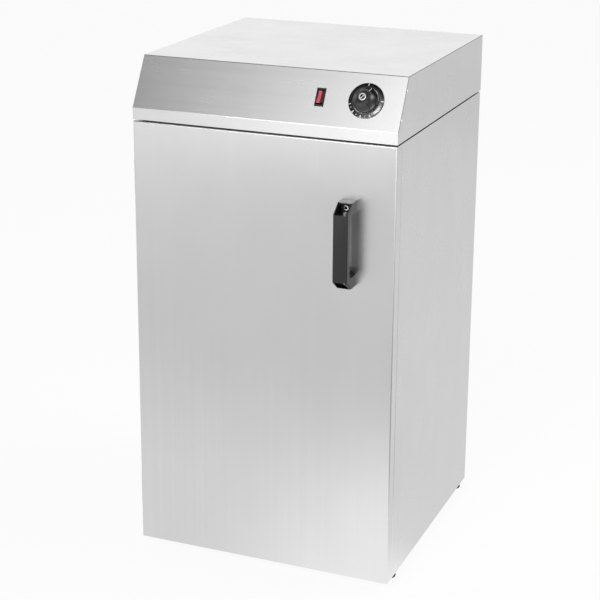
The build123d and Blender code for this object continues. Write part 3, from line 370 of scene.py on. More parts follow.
def rounded_loop(half, front, back, corner, z, steps=7):
    """A rectangle with round corners: each corner's middle plus corner · (cos, sin) over its quarter turn."""
    quarter = np.linspace(0, np.pi / 2, steps)
    points = []
    for turn, (x, y) in enumerate(((half, back), (-half, back), (-half, front), (half, front))):
        middle = np.array((x, y)) - corner * np.sign((x, y - (front + back) / 2))
        angle = quarter + turn * np.pi / 2
        points.append(middle + corner * np.stack([np.cos(angle), np.sin(angle)], axis=1))
    flat = np.concatenate(points)
    return np.column_stack([flat, np.full(len(flat), z)])


def wire_shelf(name, node, level, finish):
    """One shelf from its level: border, plate wires along the depth, stays across."""
    half, front, back = 0.1936, 0.046 + FRONT, 0.398 + FRONT
    border_wire, plate_wire, stay_wire, weld = 0.003, 0.00175, 0.0025, 0.0006
    border_z = level + border_wire + SEAT
    wire_z = border_z + border_wire + plate_wire - weld
    stay_z = wire_z - plate_wire - stay_wire + weld
    border = rounded_loop(half, front + border_wire, back - border_wire, 0.012, border_z) + (MIDDLE, 0, 0)
    parts = [tube(border, up, 1000 * border_wire, closed=True)]
    for x in np.linspace(-half, half, 12)[1:-1]:
        ends = [(MIDDLE + x, front, wire_z), (MIDDLE + x, back, wire_z)]
        parts.append(tube(ends, up, 1000 * plate_wire))
    for y in front + (back - front) * np.array([1, 2]) / 3:
        ends = [(MIDDLE - half, y, stay_z), (MIDDLE + half, y, stay_z)]
        parts.append(tube(ends, up, 1000 * stay_wire))
    mesh = joined(name, parts)
    piece(name, mesh, finish, "cabinet", "shelf_wire", node)


def joined(name, parts, crease=35):
    """One mesh from several grids of different sizes."""
    whole = bmesh.new()
    for part in parts:
        mesh = surface(name, part[None], crease)
        whole.from_mesh(mesh)
        bpy.data.meshes.remove(mesh)
    mesh = bpy.data.meshes.new(name)
    whole.to_mesh(mesh)
    whole.free()
    return mesh


bright_wire = plated_wire()
wire_shelf("wire_shelf_lower_round", "wire_shelf_lower", 0.300, bright_wire)
wire_shelf("wire_shelf_upper_round", "wire_shelf_upper", 0.512, bright_wire)


# ---- Heater ----
# A tubular element lies on the cavity floor: an 8 mm sheath bent to a hairpin, its ends out through the liner's
# back under brass nuts. The sheath is annealed stainless, straw to blue-grey where it has run hot.
def annealed():
    """Oxidised stainless: dull grey with brown and blue tints along the tube."""
    made, tree, shader, where = material("annealed_sheath", {"Metallic": 0.85, "Roughness": 0.45})
    tint = noise(tree, where, (60, 60, 60), 0, 1, 3.0)
    ramp = add(tree, "Mix", {0: tint, 6: linear("#6d6a66"), 7: linear("#7d7f86")}, data_type="RGBA")
    tree.links.new(ramp.outputs[2], shader.inputs["Base Color"])
    return made


def turned_brass():
    """Brass bar: warm gloss with fine turning marks."""
    made, tree, shader, where = material("turned_brass", {"Metallic": 1.0, "Roughness": 0.25})
    shaded(tree, shader, "#caa55c", noise(tree, where, (1.5, 1.5, 1.5), -0.06, 0.06))
    return made


def hairpin(half, front, back, bend, z):
    """Straight in, a quarter turn, across, a quarter turn and straight out."""
    turn = np.linspace(0, np.pi / 2, 13)
    left = np.stack([-half + bend - bend * np.cos(turn), front + bend - bend * np.sin(turn)], axis=1)
    right = left[::-1] * (-1, 1)
    flat = np.concatenate([[(-half, back)], left, right, [(half, back)]])
    return np.column_stack([flat[:, 0] + MIDDLE, flat[:, 1], np.full(len(flat), z)])


element_path = hairpin(half=0.120, front=-0.1305, back=0.2276, bend=0.060, z=0.074)
element = tube(element_path, up, radius=4.0, sides=24)
piece("heater_element_tube", surface("heater_element_tube", element[None]), annealed(), "cabinet",
      "element_sheath", "heater_element")
coat(turned_brass(), "heater_end_nuts", "hinge_washers")


# ---- Hood and control panel ----
# One stainless sheet folded to top, slope, lip, cheeks and rear wall, brushed across. The left end of the slope is
# bare. Its corners are closed, and along both rims of each cheek a fine dark joint is widened into a band of
# painted shade for the bend's dark reflection.
# First the slope's own directions, and its foot at the front.
SLOPE_UP = np.array([0, 0.497352, 0.867549])
SLOPE_OUT = np.array([0, -0.867549, 0.497352])
SLOPE_FOOT = np.array([MIDDLE, FRONT, 0.7765])
hood_top = max(corner[2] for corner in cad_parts["hood"].bound_box)
# The rims that get the painted shade: under the slope and under the top.
rims = [(SLOPE_OUT, SLOPE_FOOT @ SLOPE_OUT - 0.0032), (up, hood_top - 0.0015)]
hood_steel = brushed(
    "stainless_brushed_across", across_x, upright_z, "#e4e4e4", rough=0.25, shade=0.012, apart=3, seams=rims
)
coat(hood_steel, "hood")
hood_places = [(x + MIDDLE, BACK + SEAT, 0.764) for x in (-0.204, 0, 0.204)]
screws("hood_screws_domed", "hood_screws", "cabinet", zinc, hood_places, to_back, up, **pan_head)


def on_slope(x, s, h):
    """Points from x across, s up the slope and h out of it, in mm."""
    x, s, h = (part[..., None] / 1000 for part in np.broadcast_arrays(x, s, h))
    return SLOPE_FOOT + x * np.array([1.0, 0, 0]) + s * SLOPE_UP + h * SLOPE_OUT


# Blind rivets: two on each cheek hold the slope's side tabs. Aluminium, a shallow dome with the broken mandrel
# in its middle.
def drawn_aluminium():
    """Soft aluminium: pale and matt."""
    made, tree, shader, where = material("drawn_aluminium", {"Metallic": 1.0, "Roughness": 0.4})
    shaded(tree, shader, "#fbfbfb", noise(tree, where, (1.5, 1.5, 1.5), -0.04, 0.0))
    return made


rivet_parts = []
rivet_radii, rivet_heights = profile(
    (0, 0.3), (0.4, 0.3), (0.45, 0.72), (0.9, 0.75), (1.5, 0.62), (2.0, 0.3), (2.2, 0), (0, 0)
)
for side in (-1, 1):
    for s in (21.44, 69.04):
        centre = on_slope(side * 225.0, s, -6.3)
        rivet_parts.append(set_out(rivet_radii, around(24), rivet_heights, [centre], (side, 0, 0), up)[0])
piece("hood_rivets_domed", joined("hood_rivets_domed", rivet_parts), drawn_aluminium(), "cabinet", "screws",
      "hood_rivets")


# ---- Thermostat, dial and knob ----
# A capillary thermostat behind the slope, in a white thermoset case, its copper bulb clipped under the cavity's
# roof. In front: a fixed scale ring and a bell-shaped knob, both pressed from glossy black phenolic.
def thermoset():
    """Pale thermoset: an even, slightly waxy white."""
    made, tree, shader, where = material("moulded_thermoset", {"Roughness": 0.5})
    shaded(tree, shader, "#dcd8cc", noise(tree, where, (8, 8, 8), -0.04, 0.04))
    return made


def drawn_copper():
    """Copper tube: pink gloss, brown where it has been handled."""
    made, tree, shader, where = material("drawn_copper", {"Metallic": 1.0, "Roughness": 0.28})
    shaded(tree, shader, "#c9866a", noise(tree, where, (12, 12, 12), -0.15, 0.08, 3.0))
    return made


def capillary_path(x, y, lead, tail, high, low, bend):
    """Back from the thermostat, a quarter turn, down, a quarter turn, and on under the roof to the bulb."""
    turn = np.linspace(0, np.pi / 2, 9)
    drop = np.concatenate([
        [(y - lead, high)],
        np.stack([y - bend + bend * np.sin(turn), high - bend + bend * np.cos(turn)], axis=1),
        np.stack([y + bend - bend * np.cos(turn), low + bend - bend * np.sin(turn)], axis=1),
        [(y + tail, low)],
    ])
    return np.column_stack([np.full(len(drop), x), drop])


coat(thermoset(), "thermostat_body", "terminal_block")
route = capillary_path(
    x=0.16865, y=-0.1105, lead=0.024, tail=0.034, high=0.781, low=0.7002, bend=0.008
)
capillary = tube(route, across_x, radius=1.0, sides=12)
bulb_radii, bulb_heights = profile(
    (0, -1), (1.2, -1), (1.5, 0.5), (1.3, 3), (2.6, 5), (3, 7), (3, 84), (2.8, 86), (1.6, 88), (0, 89)
)
bulb = set_out(bulb_radii, around(24), bulb_heights, route[-1:], to_back, up)[0]
piece("thermostat_bulb_round", joined("thermostat_bulb_round", [capillary, bulb]), drawn_copper(), "cabinet",
      "copper", "thermostat_bulb")

# The dial's middle across and up the slope (mm), and how far its pointer and its cap's slots are turned (degrees).
DIAL_X, DIAL_S = 165.0, 46.0
POINTER, CAP_TURN = 21.0, 40.0


def on_dial(radius, azimuth, height):
    """Points from a radius, an azimuth clockwise from up-slope in degrees, and a height, in mm."""
    azimuth = np.radians(azimuth)
    return on_slope(DIAL_X + radius * np.sin(azimuth), DIAL_S + radius * np.cos(azimuth), height)


def phenolic(name, colour, rough):
    """Phenolic moulding: deep black under a hard gloss that faint handling marks dull."""
    gloss = {"Roughness": rough, "IOR": 1.62, "Coat Weight": 0.5, "Coat Roughness": 0.1}
    made, tree, shader, where = material(name, gloss)
    shaded(tree, shader, colour, noise(tree, where, (10, 10, 10), -0.15, 0.15))
    roughened(tree, shader, noise(tree, where, (4, 4, 4), -0.04, 0.06, 3.0))
    return made


ring_radii, ring_heights = profile(
    (21.2, 0), (21.2, 2.1), (21.5, 2.4), (22.2, 2.4), (27.9, 1.5), (28.4, 1.35), (28.7, 1.0), (28.7, 0),
    (21.2, 0),
)
azimuths = np.degrees(around(180))
ring_grid = on_dial(ring_radii, azimuths, ring_heights)
ring_black = phenolic("phenolic_ring", "#070708", 0.2)
piece("dial_ring_bevelled", surface("dial_ring_bevelled", ring_grid[None], 25), ring_black, "cabinet",
      "knob_black", "dial_ring")


def knob_section():
    """Radii, heights and the run along the flank. The flank is a cubic curve that hollows in from rim to hub:
    (1-t)³ a + 3t(1-t)² b + 3t²(1-t) c + t³ d."""
    t = np.linspace(0, 1, 40)[:, None]
    a, b, c, d = (np.array(point) for point in ((20.1, 6.5), (15.8, 8.6), (10.6, 12.6), (9.5, 20.8)))
    flank = (1 - t) ** 3 * a + 3 * t * (1 - t) ** 2 * b + 3 * t ** 2 * (1 - t) * c + t ** 3 * d
    under = [(0, 17.7), (3.05, 17.7), (3.05, 3.4), (5.2, 3.4), (5.2, 6.2), (18.2, 6.2), (18.2, 1.2)]
    rim = [(20.0, 1.2), (20.3, 1.35), (20.4, 1.7), (20.4, 5.8), (20.33, 6.2)]
    hub = [(9.35, 21.3), (9.15, 21.48), (8.95, 21.5), (8.7, 21.3), (8.1, 20.5), (7.6, 20.0)]
    hub += [(6.2, 19.9), (0, 19.9)]
    radii, heights = np.concatenate([under, rim, flank, hub]).T
    steps = np.hypot(np.diff(radii, prepend=radii[0]), np.diff(heights, prepend=heights[0]))
    return radii[:, None], heights[:, None], np.cumsum(steps)[:, None]


def knob_points(azimuth):
    """The knob's surface: its section turned round, less two finger hollows about the flank's point at a radius
    of 16 mm. A hollow is depth · exp(-(across/4.4)⁴ - (along/2.6)⁴), cut square to the section."""
    hollow_radius, hollow_depth, shoulder = 16.0, 1.25, 6.4
    radii, heights, run = knob_section()
    lean = np.gradient(radii[:, 0])[:, None], np.gradient(heights[:, 0])[:, None]
    size = np.hypot(*lean)
    flank_row = np.argmin(np.abs(radii - hollow_radius) + 99 * (heights < 6.6) + 99 * (heights > 12))
    along = run - run[flank_row]
    depth = 0 * radii * azimuth
    for middle in (128.0, 308.0):
        across = radii * np.radians((azimuth - middle + 180) % 360 - 180)
        hollow = np.exp(-(across / 4.4) ** 4 - (along / 2.6) ** 4)
        depth = depth + hollow_depth * hollow * (heights > shoulder)
    return radii - depth * lean[1] / size, azimuth + 0 * radii, heights + depth * lean[0] / size


knob_black = phenolic("phenolic_knob", "#080809", 0.32)
knob_grid = on_dial(*knob_points(azimuths))
piece("knob_moulded", surface("knob_moulded", knob_grid[None], 30), knob_black, "knob_group",
      "knob_black", "knob")


# White print on the ring: a tick at nought and at the end of the scale, five wedges, and the figures between
# them. A white line on the knob's flank points to the scale.
def white_print():
    """Pad-printed ink: matt white, thin enough to let a little black through."""
    made, tree, shader, where = material("white_print", {"Roughness": 0.6})
    shaded(tree, shader, "#e9e9e6", noise(tree, where, (1.5, 1.5, 1.5), -0.12, 0.05))
    return made


# The ink's height in mm.
INK = 0.06


def ring_top(radius):
    """Height of the ring's coned face."""
    return 2.4 - 0.9 * np.clip(radius - 22.2, 0, 5.7) / 5.7


def beside(azimuth, radius, side, height):
    """Points at a radius along one azimuth, then a step to its side, clockwise, and a height, in mm."""
    turned = np.radians(azimuth)
    x = DIAL_X + radius * np.sin(turned) + side * np.cos(turned)
    s = DIAL_S + radius * np.cos(turned) - side * np.sin(turned)
    return on_slope(x, s, height)


def closed_bar(grid):
    """Rows of four corners with the middle of the first and the last row put before and after them."""
    ends = [np.repeat(row.mean(axis=0)[None, None], 4, axis=1) for row in (grid[0], grid[-1])]
    return np.concatenate([ends[0], grid, ends[1]])


def mark(azimuth, inner, outer, inner_width, outer_width):
    """A thin printed bar that lies on the ring: four corners a row, closed under its ink."""
    radius = np.linspace(inner, outer, 6)[:, None]
    width = np.linspace(inner_width, outer_width, 6)[:, None]
    side = np.array([-1, -1, 1, 1]) * width / 2
    lift = ring_top(radius) + np.array([-0.02, INK, INK, -0.02])
    return closed_bar(beside(azimuth, radius, side, lift))


ink = white_print()
scale_start, scale_end, wedge_step = 0.0, 254.0, 33.8
wedge_angles = 88.5 + wedge_step * np.arange(5)
marks = [mark(angle, 24.0, 28.3, 1.3, 1.3) for angle in (scale_start, scale_end)]
marks += [mark(angle, 23.8, 28.3, 1.1, 3.4) for angle in wedge_angles]
piece("dial_marks", joined("dial_marks", marks), ink, "cabinet", None)


def figure(text, azimuth, radius, size):
    """A figure set in the built-in face, made mesh, then laid on the ring with its foot to the middle."""
    curve = bpy.data.curves.new("figure", "FONT")
    curve.body = text
    curve.size = size
    curve.align_x = "CENTER"
    curve.align_y = "CENTER"
    curve.extrude = INK / 2
    holder = bpy.data.objects.new("figure", curve)
    bpy.context.scene.collection.objects.link(holder)
    bpy.context.view_layer.update()
    mesh = bpy.data.meshes.new_from_object(holder)
    bpy.data.objects.remove(holder)
    points = np.zeros(len(mesh.vertices) * 3, np.float32)
    mesh.vertices.foreach_get("co", points)
    across, upward, out = points.reshape(-1, 3).T.astype(float)
    placed = beside(azimuth, radius + upward, across, ring_top(radius + upward) + INK / 2 + out)
    mesh.vertices.foreach_set("co", placed.astype(np.float32).ravel())
    return mesh


figures = bmesh.new()
for text, angle in zip("12345", wedge_angles + wedge_step / 2):
    figures.from_mesh(figure(text, angle, 25.4, 4.4))
figure_mesh = bpy.data.meshes.new("dial_figures")
figures.to_mesh(figure_mesh)
figures.free()
piece("dial_figures", figure_mesh, ink, "cabinet", None)


def pointer():
    """The knob's printed line, from the flank to the rim: the knob's own surface lifted by the ink, outwards
    and up in the shares of the flank's slant."""
    half_width, share_out, share_up = 0.55, 0.5, 0.85
    radii, _, heights = knob_points(np.array([POINTER]))
    rows = (heights[:, 0] > 5.9) & (heights[:, 0] < 11.0) & (radii[:, 0] > 13.3)
    side = np.array([-1, -1, 1, 1]) * half_width
    lift = np.array([-0.05, INK, INK, -0.05])
    return closed_bar(beside(POINTER, radii[rows] + lift * share_out, side, heights[rows] + lift * share_up))


piece("knob_pointer", surface("knob_pointer", pointer()[None]), ink, "knob_group", None)


# A chromed cap closes the hub: a flat disc with a soft edge and two short slots either side of a bar.
def chrome(name, colour, out, level):
    """Bright chrome plate, with a slight haze. What lies deeper than a level (metres along a direction), such as a
    slot's floor, is painted black as shade."""
    grease_tone = -0.98
    made, tree, shader, where = material(name, {"Metallic": 1.0, "Roughness": 0.12})
    roughened(tree, shader, noise(tree, where, (5, 5, 5), -0.02, 0.05))
    along = add(tree, "VectorMath", {0: where, 1: out}, operation="DOT_PRODUCT").outputs["Value"]
    # Painted shade: all below the level turns black.
    deep = add(tree, "Math", {0: along, 1: level}, operation="LESS_THAN").outputs[0]
    haze = noise(tree, where, (2, 2, 2), -0.04, 0.04)
    grease = add(tree, "Math", {0: deep, 1: grease_tone}, operation="MULTIPLY").outputs[0]
    shaded(tree, shader, colour, haze, grease)
    return made


def cap_points():
    """A disc sunk by its slots where |x| is over half the bar's width and r under the slots' reach."""
    half_bar, slot_reach, slot_depth, top = 0.9, 3.7, 1.0, 21.45
    radius = np.concatenate([np.linspace(0, 5.6, 29), [5.85, 6.0, 6.0, 0.0]])[:, None]
    height = np.concatenate([np.full(29, top), [21.38, 21.15, 19.95, 19.95]])[:, None]
    angle = np.radians(azimuths)
    x, y = np.abs(radius * np.sin(angle)), np.abs(radius * np.cos(angle))
    slot = (x > half_bar) & (np.hypot(x, y) < slot_reach) & (height > top - 0.05)
    return radius, azimuths + CAP_TURN, height - slot_depth * slot


cap_grid = on_dial(*cap_points())
# The cap's slot floors are painted black as shade.
cap_chrome = chrome("chrome_plate_cap", "#c4c5c7", SLOPE_OUT, SLOPE_FOOT @ SLOPE_OUT + 0.02115)
piece("knob_cap_chromed", surface("knob_cap_chromed", cap_grid[None], 30), cap_chrome, "knob_group", "screws",
      "knob_cap")


# ---- Rocker switch ----
# A snap-in switch: a black nylon bezel and case, and a translucent red polycarbonate rocker that is off, its
# upper end pushed in.
def hollowed(shape, depth):
    """Hollow the rocker's face across: after 15 cuts along it, every point down to 5 mm under the slope sinks by
    depth · (1 - (x / half width)²)."""
    left, right = (limit(point.co.x for point in shape.verts) for limit in (min, max))
    middle, half = (left + right) / 2, (right - left) / 2
    for x in middle + half * np.linspace(-0.875, 0.875, 15):
        whole = shape.verts[:] + shape.edges[:] + shape.faces[:]
        bmesh.ops.bisect_plane(shape, geom=whole, plane_co=(x, 0, 0), plane_no=(1, 0, 0))
    for point in shape.verts:
        if np.dot(point.co - Vector(SLOPE_FOOT), SLOPE_OUT) > -0.005:
            point.co -= depth * (1 - ((point.co.x - middle) / half) ** 2) * Vector(SLOPE_OUT)


def softened(name, node, made, body, slot, width, hollow=0.0):
    """A copy of a moulded node: its loose triangles merged into faces, its face hollowed where asked, and its
    sharp edges rounded."""
    crease = np.radians(30)
    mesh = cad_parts[node].data.copy()
    mesh.name = name
    shape = bmesh.new()
    shape.from_mesh(mesh)
    bmesh.ops.remove_doubles(shape, verts=shape.verts, dist=1e-6)
    bmesh.ops.dissolve_limit(shape, angle_limit=np.radians(1), verts=shape.verts, edges=shape.edges)
    if hollow:
        hollowed(shape, hollow)
    for face in shape.faces:
        face.smooth = True
    shape.to_mesh(mesh)
    shape.free()
    mesh.set_sharp_from_angle(angle=crease)
    formed = piece(name, mesh, made, body, slot, node)
    bevel = formed.modifiers.new("soft edges", "BEVEL")
    bevel.width = width
    bevel.segments = 3
    bevel.limit_method = "ANGLE"
    bevel.angle_limit = crease
    bevel.harden_normals = True


def nylon(name, colour, rough):
    """Glass-filled nylon: dark grey-black, a fine spark-eroded grain (0.4 mm) and a broad soft gloss."""
    made, tree, shader, where = material(name, {"Roughness": rough, "Coat Weight": 0.25, "Coat Roughness": 0.2})
    shaded(tree, shader, colour, noise(tree, where, (7, 7, 7), -0.08, 0.08))
    bumped(tree, shader, noise(tree, where, (0.4, 0.4, 0.4), 0, 1), 0.00004)
    return made


def polycarbonate():
    """Clear red resin, deep and dark, with a painted highlight: a pale pink band left of the middle, fixed on the
    rocker whatever the light.
    """
    made, tree, shader, where = material("red_polycarbonate", {"Roughness": 0.26, "IOR": 1.585})
    middle = np.mean([corner[0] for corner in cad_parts["rocker"].bound_box])
    across = add(tree, "SeparateXYZ", {0: where}).outputs[0]
    # The painted highlight's stops across the rocker: pale from 3.2 mm left of the middle to just right of it.
    stops = [(-0.0046, 0.0), (-0.0032, 1.0), (0.0002, 1.0), (0.0022, 0.0)]
    window = stepped(tree, across, [(middle + x, level) for x, level in stops])
    mottle = noise(tree, where, (2, 2, 5), -0.12, 0.12)
    window = add(tree, "Math", {0: window, 1: mottle}, operation="ADD", use_clamp=True).outputs[0]
    resin, lit = linear("#5c0f14"), linear("#ea6f7c")
    tint = add(tree, "Mix", {0: window, 6: resin, 7: lit}, data_type="RGBA").outputs[2]
    tree.links.new(tint, shader.inputs["Base Color"])
    roughened(tree, shader, noise(tree, where, (2, 2, 2), -0.03, 0.05))
    return made


case_nylon = nylon("moulded_nylon_case", "#0a0a0b", 0.4)
softened("switch_housing_soft", "switch_housing", case_nylon, "cabinet", "black_moulding", width=0.0003)
softened("rocker_soft", "rocker", polycarbonate(), "switch_rocker", "rocker_red", width=0.0004, hollow=0.0008)


# ---- Cable inlet ----
# A nylon cable gland through the hood's rear wall: threaded tail and locknut inside, hexagon and ribbed dome
# outside. The lead itself isn't part of this piece, so the gland stands open.
def gland_points():
    """Radii by angle: a hexagon's flats over cos(angle from the nearest flat), a thread as a triangle wave, and
    a dome with 18 ribs as a cosine."""
    bore, tail, thread, pitch = 4.5, -11.0, 9.4, 1.5
    angle = around(144)
    even = np.ones(144)
    flat = np.radians((np.degrees(angle) + 30) % 60 - 30)
    hexagon = 11.0 / np.cos(flat)
    ribs = 1 + 0.02 * np.cos(18 * angle)
    rows = [(bore * even, tail), (9.2 * even, tail)]
    for height in np.linspace(-10.8, -0.2, 40):
        wave = np.abs((height / pitch - angle / (2 * np.pi)) % 1 * 2 - 1)
        rows.append((thread - 0.5 * wave, height))
    rows += [(hexagon, 0.0), (hexagon, 4.6), (hexagon * 0.97, 5.0), (9.9 * even, 5.0)]
    for step in np.linspace(0, 1, 12):
        rows.append(((10.3 - 3.2 * step ** 3) * ribs, 5.4 + 10.0 * step))
    rows += [(6.4 * even, 16.0), (4.6 * even, 16.0), (bore * even, 15.8), (bore * even, tail)]
    radii = np.array([radius for radius, _ in rows])
    heights = np.array([height for _, height in rows])[:, None]
    return radii, angle, heights


gland_grid = set_out(*gland_points(), [(-0.14635, BACK, 0.791)], to_back, up)
piece("cable_gland_ribbed", surface("cable_gland_ribbed", gland_grid, 25), case_nylon, "cabinet",
      "black_moulding", "cable_gland")
coat(case_nylon, "gland_nut", "catch_housing")


# ---- Door ----
# The skin is one brushed pan with rounded front edges over a pressed inner panel; it hides a wool slab. The
# scratches run upright and stay upright as it swings.
door_steel = brushed(
    "stainless_brushed_door", upright_z, across_x, "#dedede", rough=0.24, shade=0.007, apart=2
)
coat(door_steel, "door_skin")


# Black silicone seal, extruded, pushed into the inner panel's channel. A satin skin with a little dust.
def silicone():
    """Extruded silicone: satin black."""
    made, tree, shader, where = material("silicone_seal", {"Roughness": 0.5})
    shaded(tree, shader, "#262627", noise(tree, where, (20, 20, 20), -0.12, 0.2, 3.0))
    bumped(tree, shader, noise(tree, where, (1.5, 1.5, 1.5), 0, 1), 0.00005)
    return made


softened("door_gasket_soft", "door_gasket", silicone(), "door", "silicone_black", width=0.0006)


# The bridge handle is one glass-filled nylon moulding with chamfered ends, a pocket for the screw in each chamfer
# and a rounded grip; its edges are softly radiused by the mould. Its two chromed screws have hexagon sockets,
# painted black inside as shade.
handle_nylon = nylon("moulded_nylon_handle", "#0e0e0f", 0.36)
softened("door_handle_soft", "door_handle", handle_nylon, "door", "black_moulding", width=0.0006)
POCKET_FLOOR = FRONT - 0.010
to_front = (0, -1, 0)
handle_places = [(0.15215, POCKET_FLOOR - SEAT, z) for z in (0.5345, 0.6545)]
screw_chrome = chrome("chrome_plate_screws", "#f0f0f1", to_front, -POCKET_FLOOR + 0.0039)
screws("handle_screws_socket", "handle_screws", "door", screw_chrome, handle_places, to_front, up,
       head=4.3, height=4.5, shank=2.0, length=16.8, socket=True)


# ---- Hinges ----
# Two lift-off hinges on the left: cast stainless leaves and barrels, tumbled to a soft gloss, on a fixed pin
# with a brass washer between the barrels. The screws have low pan heads.
def tumbled():
    """Tumbled stainless: no direction, a soft sparkle."""
    made, tree, shader, where = material("tumbled_stainless", {"Metallic": 1.0, "Roughness": 0.32})
    shaded(tree, shader, "#d4d4d3", noise(tree, where, (2, 2, 2), -0.05, 0.05))
    roughened(tree, shader, noise(tree, where, (3, 3, 3), -0.05, 0.05))
    return made


coat(tumbled(), "hinge_frame_leaves", "hinge_door_leaves")
leaf_thickness = 0.002
LEAF_FACE = -0.225 + MIDDLE - leaf_thickness - SEAT
to_left = (-1, 0, 0)
for name, body, behind_front in (("hinge_frame_screws", "cabinet", 0.037), ("hinge_door_screws", "door", 0.0115)):
    leaf_places = [(LEAF_FACE, behind_front + FRONT, z + dz) for z in (0.106, 0.663) for dz in (-0.017, 0.017)]
    screws(name + "_domed", name, body, zinc, leaf_places, to_left, up,
           head=3.4, height=1.6, shank=1.9, length=2.0)


# ---- Catch ----
# A magnet between steel poles, clipped behind the top rail, holds the door's keeper plate.
def ferrite():
    """Sintered ferrite: dull charcoal with pits."""
    made, tree, shader, where = material("sintered_ferrite", {"Roughness": 0.6, "Metallic": 0.2})
    shaded(tree, shader, "#3a3a3c", noise(tree, where, (1.5, 1.5, 1.5), -0.25, 0.25, 4.0))
    return made


coat(ferrite(), "catch_magnet")


# ---- Camera ----
def camera():
    """A long lens that sees the front, the right side and the top; a small shift keeps the cabinet in the
    middle."""
    right = Vector((0.926803, 0.375486, 0.006887))
    over = Vector((-0.117962, 0.273655, 0.954567))
    look = Vector((-0.356542, 0.885507, -0.297917))
    lens = bpy.data.cameras.new("camera")
    lens.lens = 98.555
    lens.sensor_width = 36.0
    lens.shift_y = -50 / 600
    eye = bpy.data.objects.new("camera", lens)
    turn = Matrix((right, over, -look)).transposed()
    eye.matrix_world = Matrix.Translation((0.996125, -2.512074, 1.345950)) @ turn.to_4x4()
    bpy.context.scene.collection.objects.link(eye)
    bpy.context.scene.camera = eye


camera()


# ---- Studio ----
# A white sweep under soft light. Brushed steel shows little but this room: a pale floor whose tone falls and
# rises with distance, a room that is dim at the left, bright at the front and dark overhead, and three soft boxes.
def room_light():
    """The world: white to the camera, and to everything else the room's levels by direction."""
    world = bpy.data.worlds.new("studio")
    bpy.context.scene.world = world
    world.use_nodes = True
    tree = world.node_tree
    tree.nodes.clear()
    way = add(tree, "SeparateXYZ", {0: add(tree, "TexCoord", {}).outputs["Generated"]}).outputs
    back_level, ceiling_level = 1.09, 0.06
    front_stops = [
        (-0.52, 0.2), (-0.455, 0.31), (-0.425, 0.58), (-0.395, 0.64), (-0.345, 1.0), (-0.3, 1.5), (-0.2, 1.3),
        (0.1, 1.2), (0.3, 0.6), (0.6, 0.35),
    ]
    front = stepped(tree, way["X"], front_stops)
    behind = stepped(tree, way["Y"], [(-0.35, 0.0), (0.1, 1.0)])
    level = add(tree, "Mix", {0: behind, 2: front, 3: back_level}).outputs[0]
    overhead = stepped(tree, way["Z"], [(0.7, 0.0), (0.84, 1.0)])
    level = add(tree, "Mix", {0: overhead, 2: level, 3: ceiling_level}).outputs[0]
    seen = add(tree, "LightPath", {}).outputs["Is Camera Ray"]
    level = add(tree, "Mix", {0: seen, 2: level, 3: 1.0}).outputs[0]
    glow = add(tree, "Background", {"Color": (1, 1, 1, 1), "Strength": level})
    add(tree, "OutputWorld", {0: glow.outputs[0]})


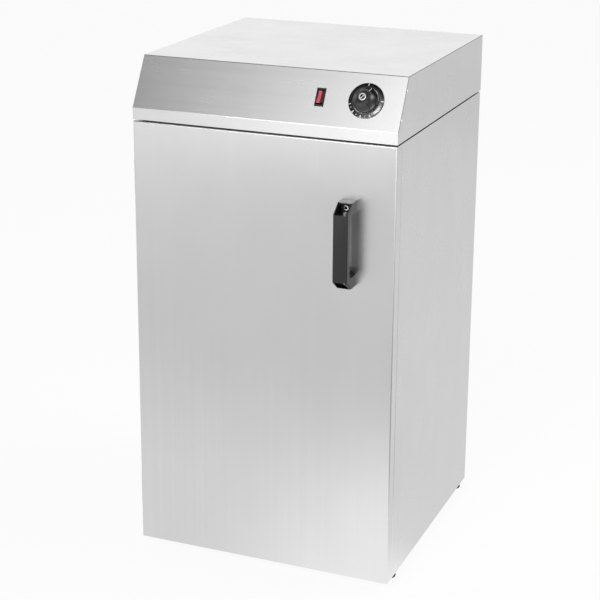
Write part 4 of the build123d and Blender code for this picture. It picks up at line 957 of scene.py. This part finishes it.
def floor():
    """Matt paper: white to the camera but for a share of the object's shadow, and toned by place where steel
    mirrors it. Each patch has stops across and along, and the level it brings the tone to."""
    half, shadow_share = 9.0, 0.15
    corners = [(-half, -half, 0), (half, -half, 0), (half, half, 0), (-half, half, 0)]
    mesh = bpy.data.meshes.new("floor")
    mesh.from_pydata(corners, [], [(0, 1, 2, 3)])
    ground = bpy.data.objects.new("floor", mesh)
    bpy.context.scene.collection.objects.link(ground)
    made, tree, shader, where = material("floor_paper", {"Roughness": 0.9, "Specular IOR Level": 0.0})
    made.cycles.emission_sampling = "NONE"
    mesh.materials.append(made)
    shader.inputs["Base Color"].default_value = (0.8, 0.8, 0.8, 1)
    place = add(tree, "SeparateXYZ", {0: where}).outputs
    depth_stops = [
        (-6, 1.15), (-3.6, 1.0), (-2.6, 0.82), (-1.2, 0.72), (-0.45, 0.86), (0.4, 0.82), (2.6, 0.78),
        (3.4, 0.68), (6, 0.72),
    ]
    tone = stepped(tree, place["Y"], depth_stops)
    patches = (
        ([(-2.7, 0.0), (-1.2, 1.0)], [(-5.0, 1.0), (-3.8, 0.0)], 3.2),
        ([(-1.2, 0.0), (-0.7, 1.0)], [(-3.2, 0.0), (-2.9, 1.0), (-2.3, 1.0), (-2.0, 0.0)], 0.62),
        ([(-0.2, 0.0), (0.2, 1.0)], [(-1.0, 0.0), (-0.45, 1.0), (-0.2, 1.0), (0.0, 0.0)], 1.1),
        ([(0.7, 0.0), (1.2, 1.0)], [(-1.9, 1.0), (-1.4, 0.0)], 1.5),
        ([(0.4, 0.0), (0.7, 1.0)], [(-1.2, 0.0), (-0.9, 1.0), (-0.1, 1.0), (0.25, 0.0)], 0.4),
    )
    for across_stops, along_stops, level in patches:
        across = stepped(tree, place["X"], across_stops)
        share = add(tree, "Math", {0: across, 1: stepped(tree, place["Y"], along_stops)}, operation="MULTIPLY")
        tone = add(tree, "Mix", {0: share.outputs[0], 2: tone, 3: level}).outputs[0]
    mirrored = add(tree, "Emission", {"Color": (1, 1, 1, 1), "Strength": tone})
    white = add(tree, "Emission", {"Color": (1, 1, 1, 1), "Strength": 1.05})
    path = add(tree, "LightPath", {}).outputs
    share = add(tree, "Math", {0: path["Is Camera Ray"], 1: 1 - shadow_share}, operation="MULTIPLY").outputs[0]
    mixed = add(tree, "MixShader", {0: share, 1: shader.outputs[0], 2: white.outputs[0]}).outputs[0]
    mixed = add(tree, "MixShader", {0: path["Is Glossy Ray"], 1: mixed, 2: mirrored.outputs[0]}).outputs[0]
    tree.links.new(mixed, tree.nodes["Material Output"].inputs[0])


def soft_box(name, place, target, size, power):
    """A rectangular lamp turned to its target."""
    light = bpy.data.lights.new(name, "AREA")
    light.shape = "RECTANGLE"
    light.size, light.size_y = size
    light.energy = power
    box = bpy.data.objects.new(name, light)
    box.location = place
    box.rotation_euler = (Vector(target) - Vector(place)).to_track_quat("-Z", "Y").to_euler()
    bpy.context.scene.collection.objects.link(box)


bpy.context.scene.view_settings.view_transform = "Standard"
room_light()
floor()
soft_box("soft_box_front", (0.01, -2.13, 2.19), (0.17, -0.19, 0.82), size=(0.45, 0.4), power=10)
soft_box("soft_box_left", (-0.75, -2.44, 1.42), (0.15, -0.23, 0.67), size=(0.8, 0.5), power=6)
soft_box("soft_box_right", (2.6, 0.8, 2.2), (0, 0, 0.4), size=(1.6, 1.6), power=24)
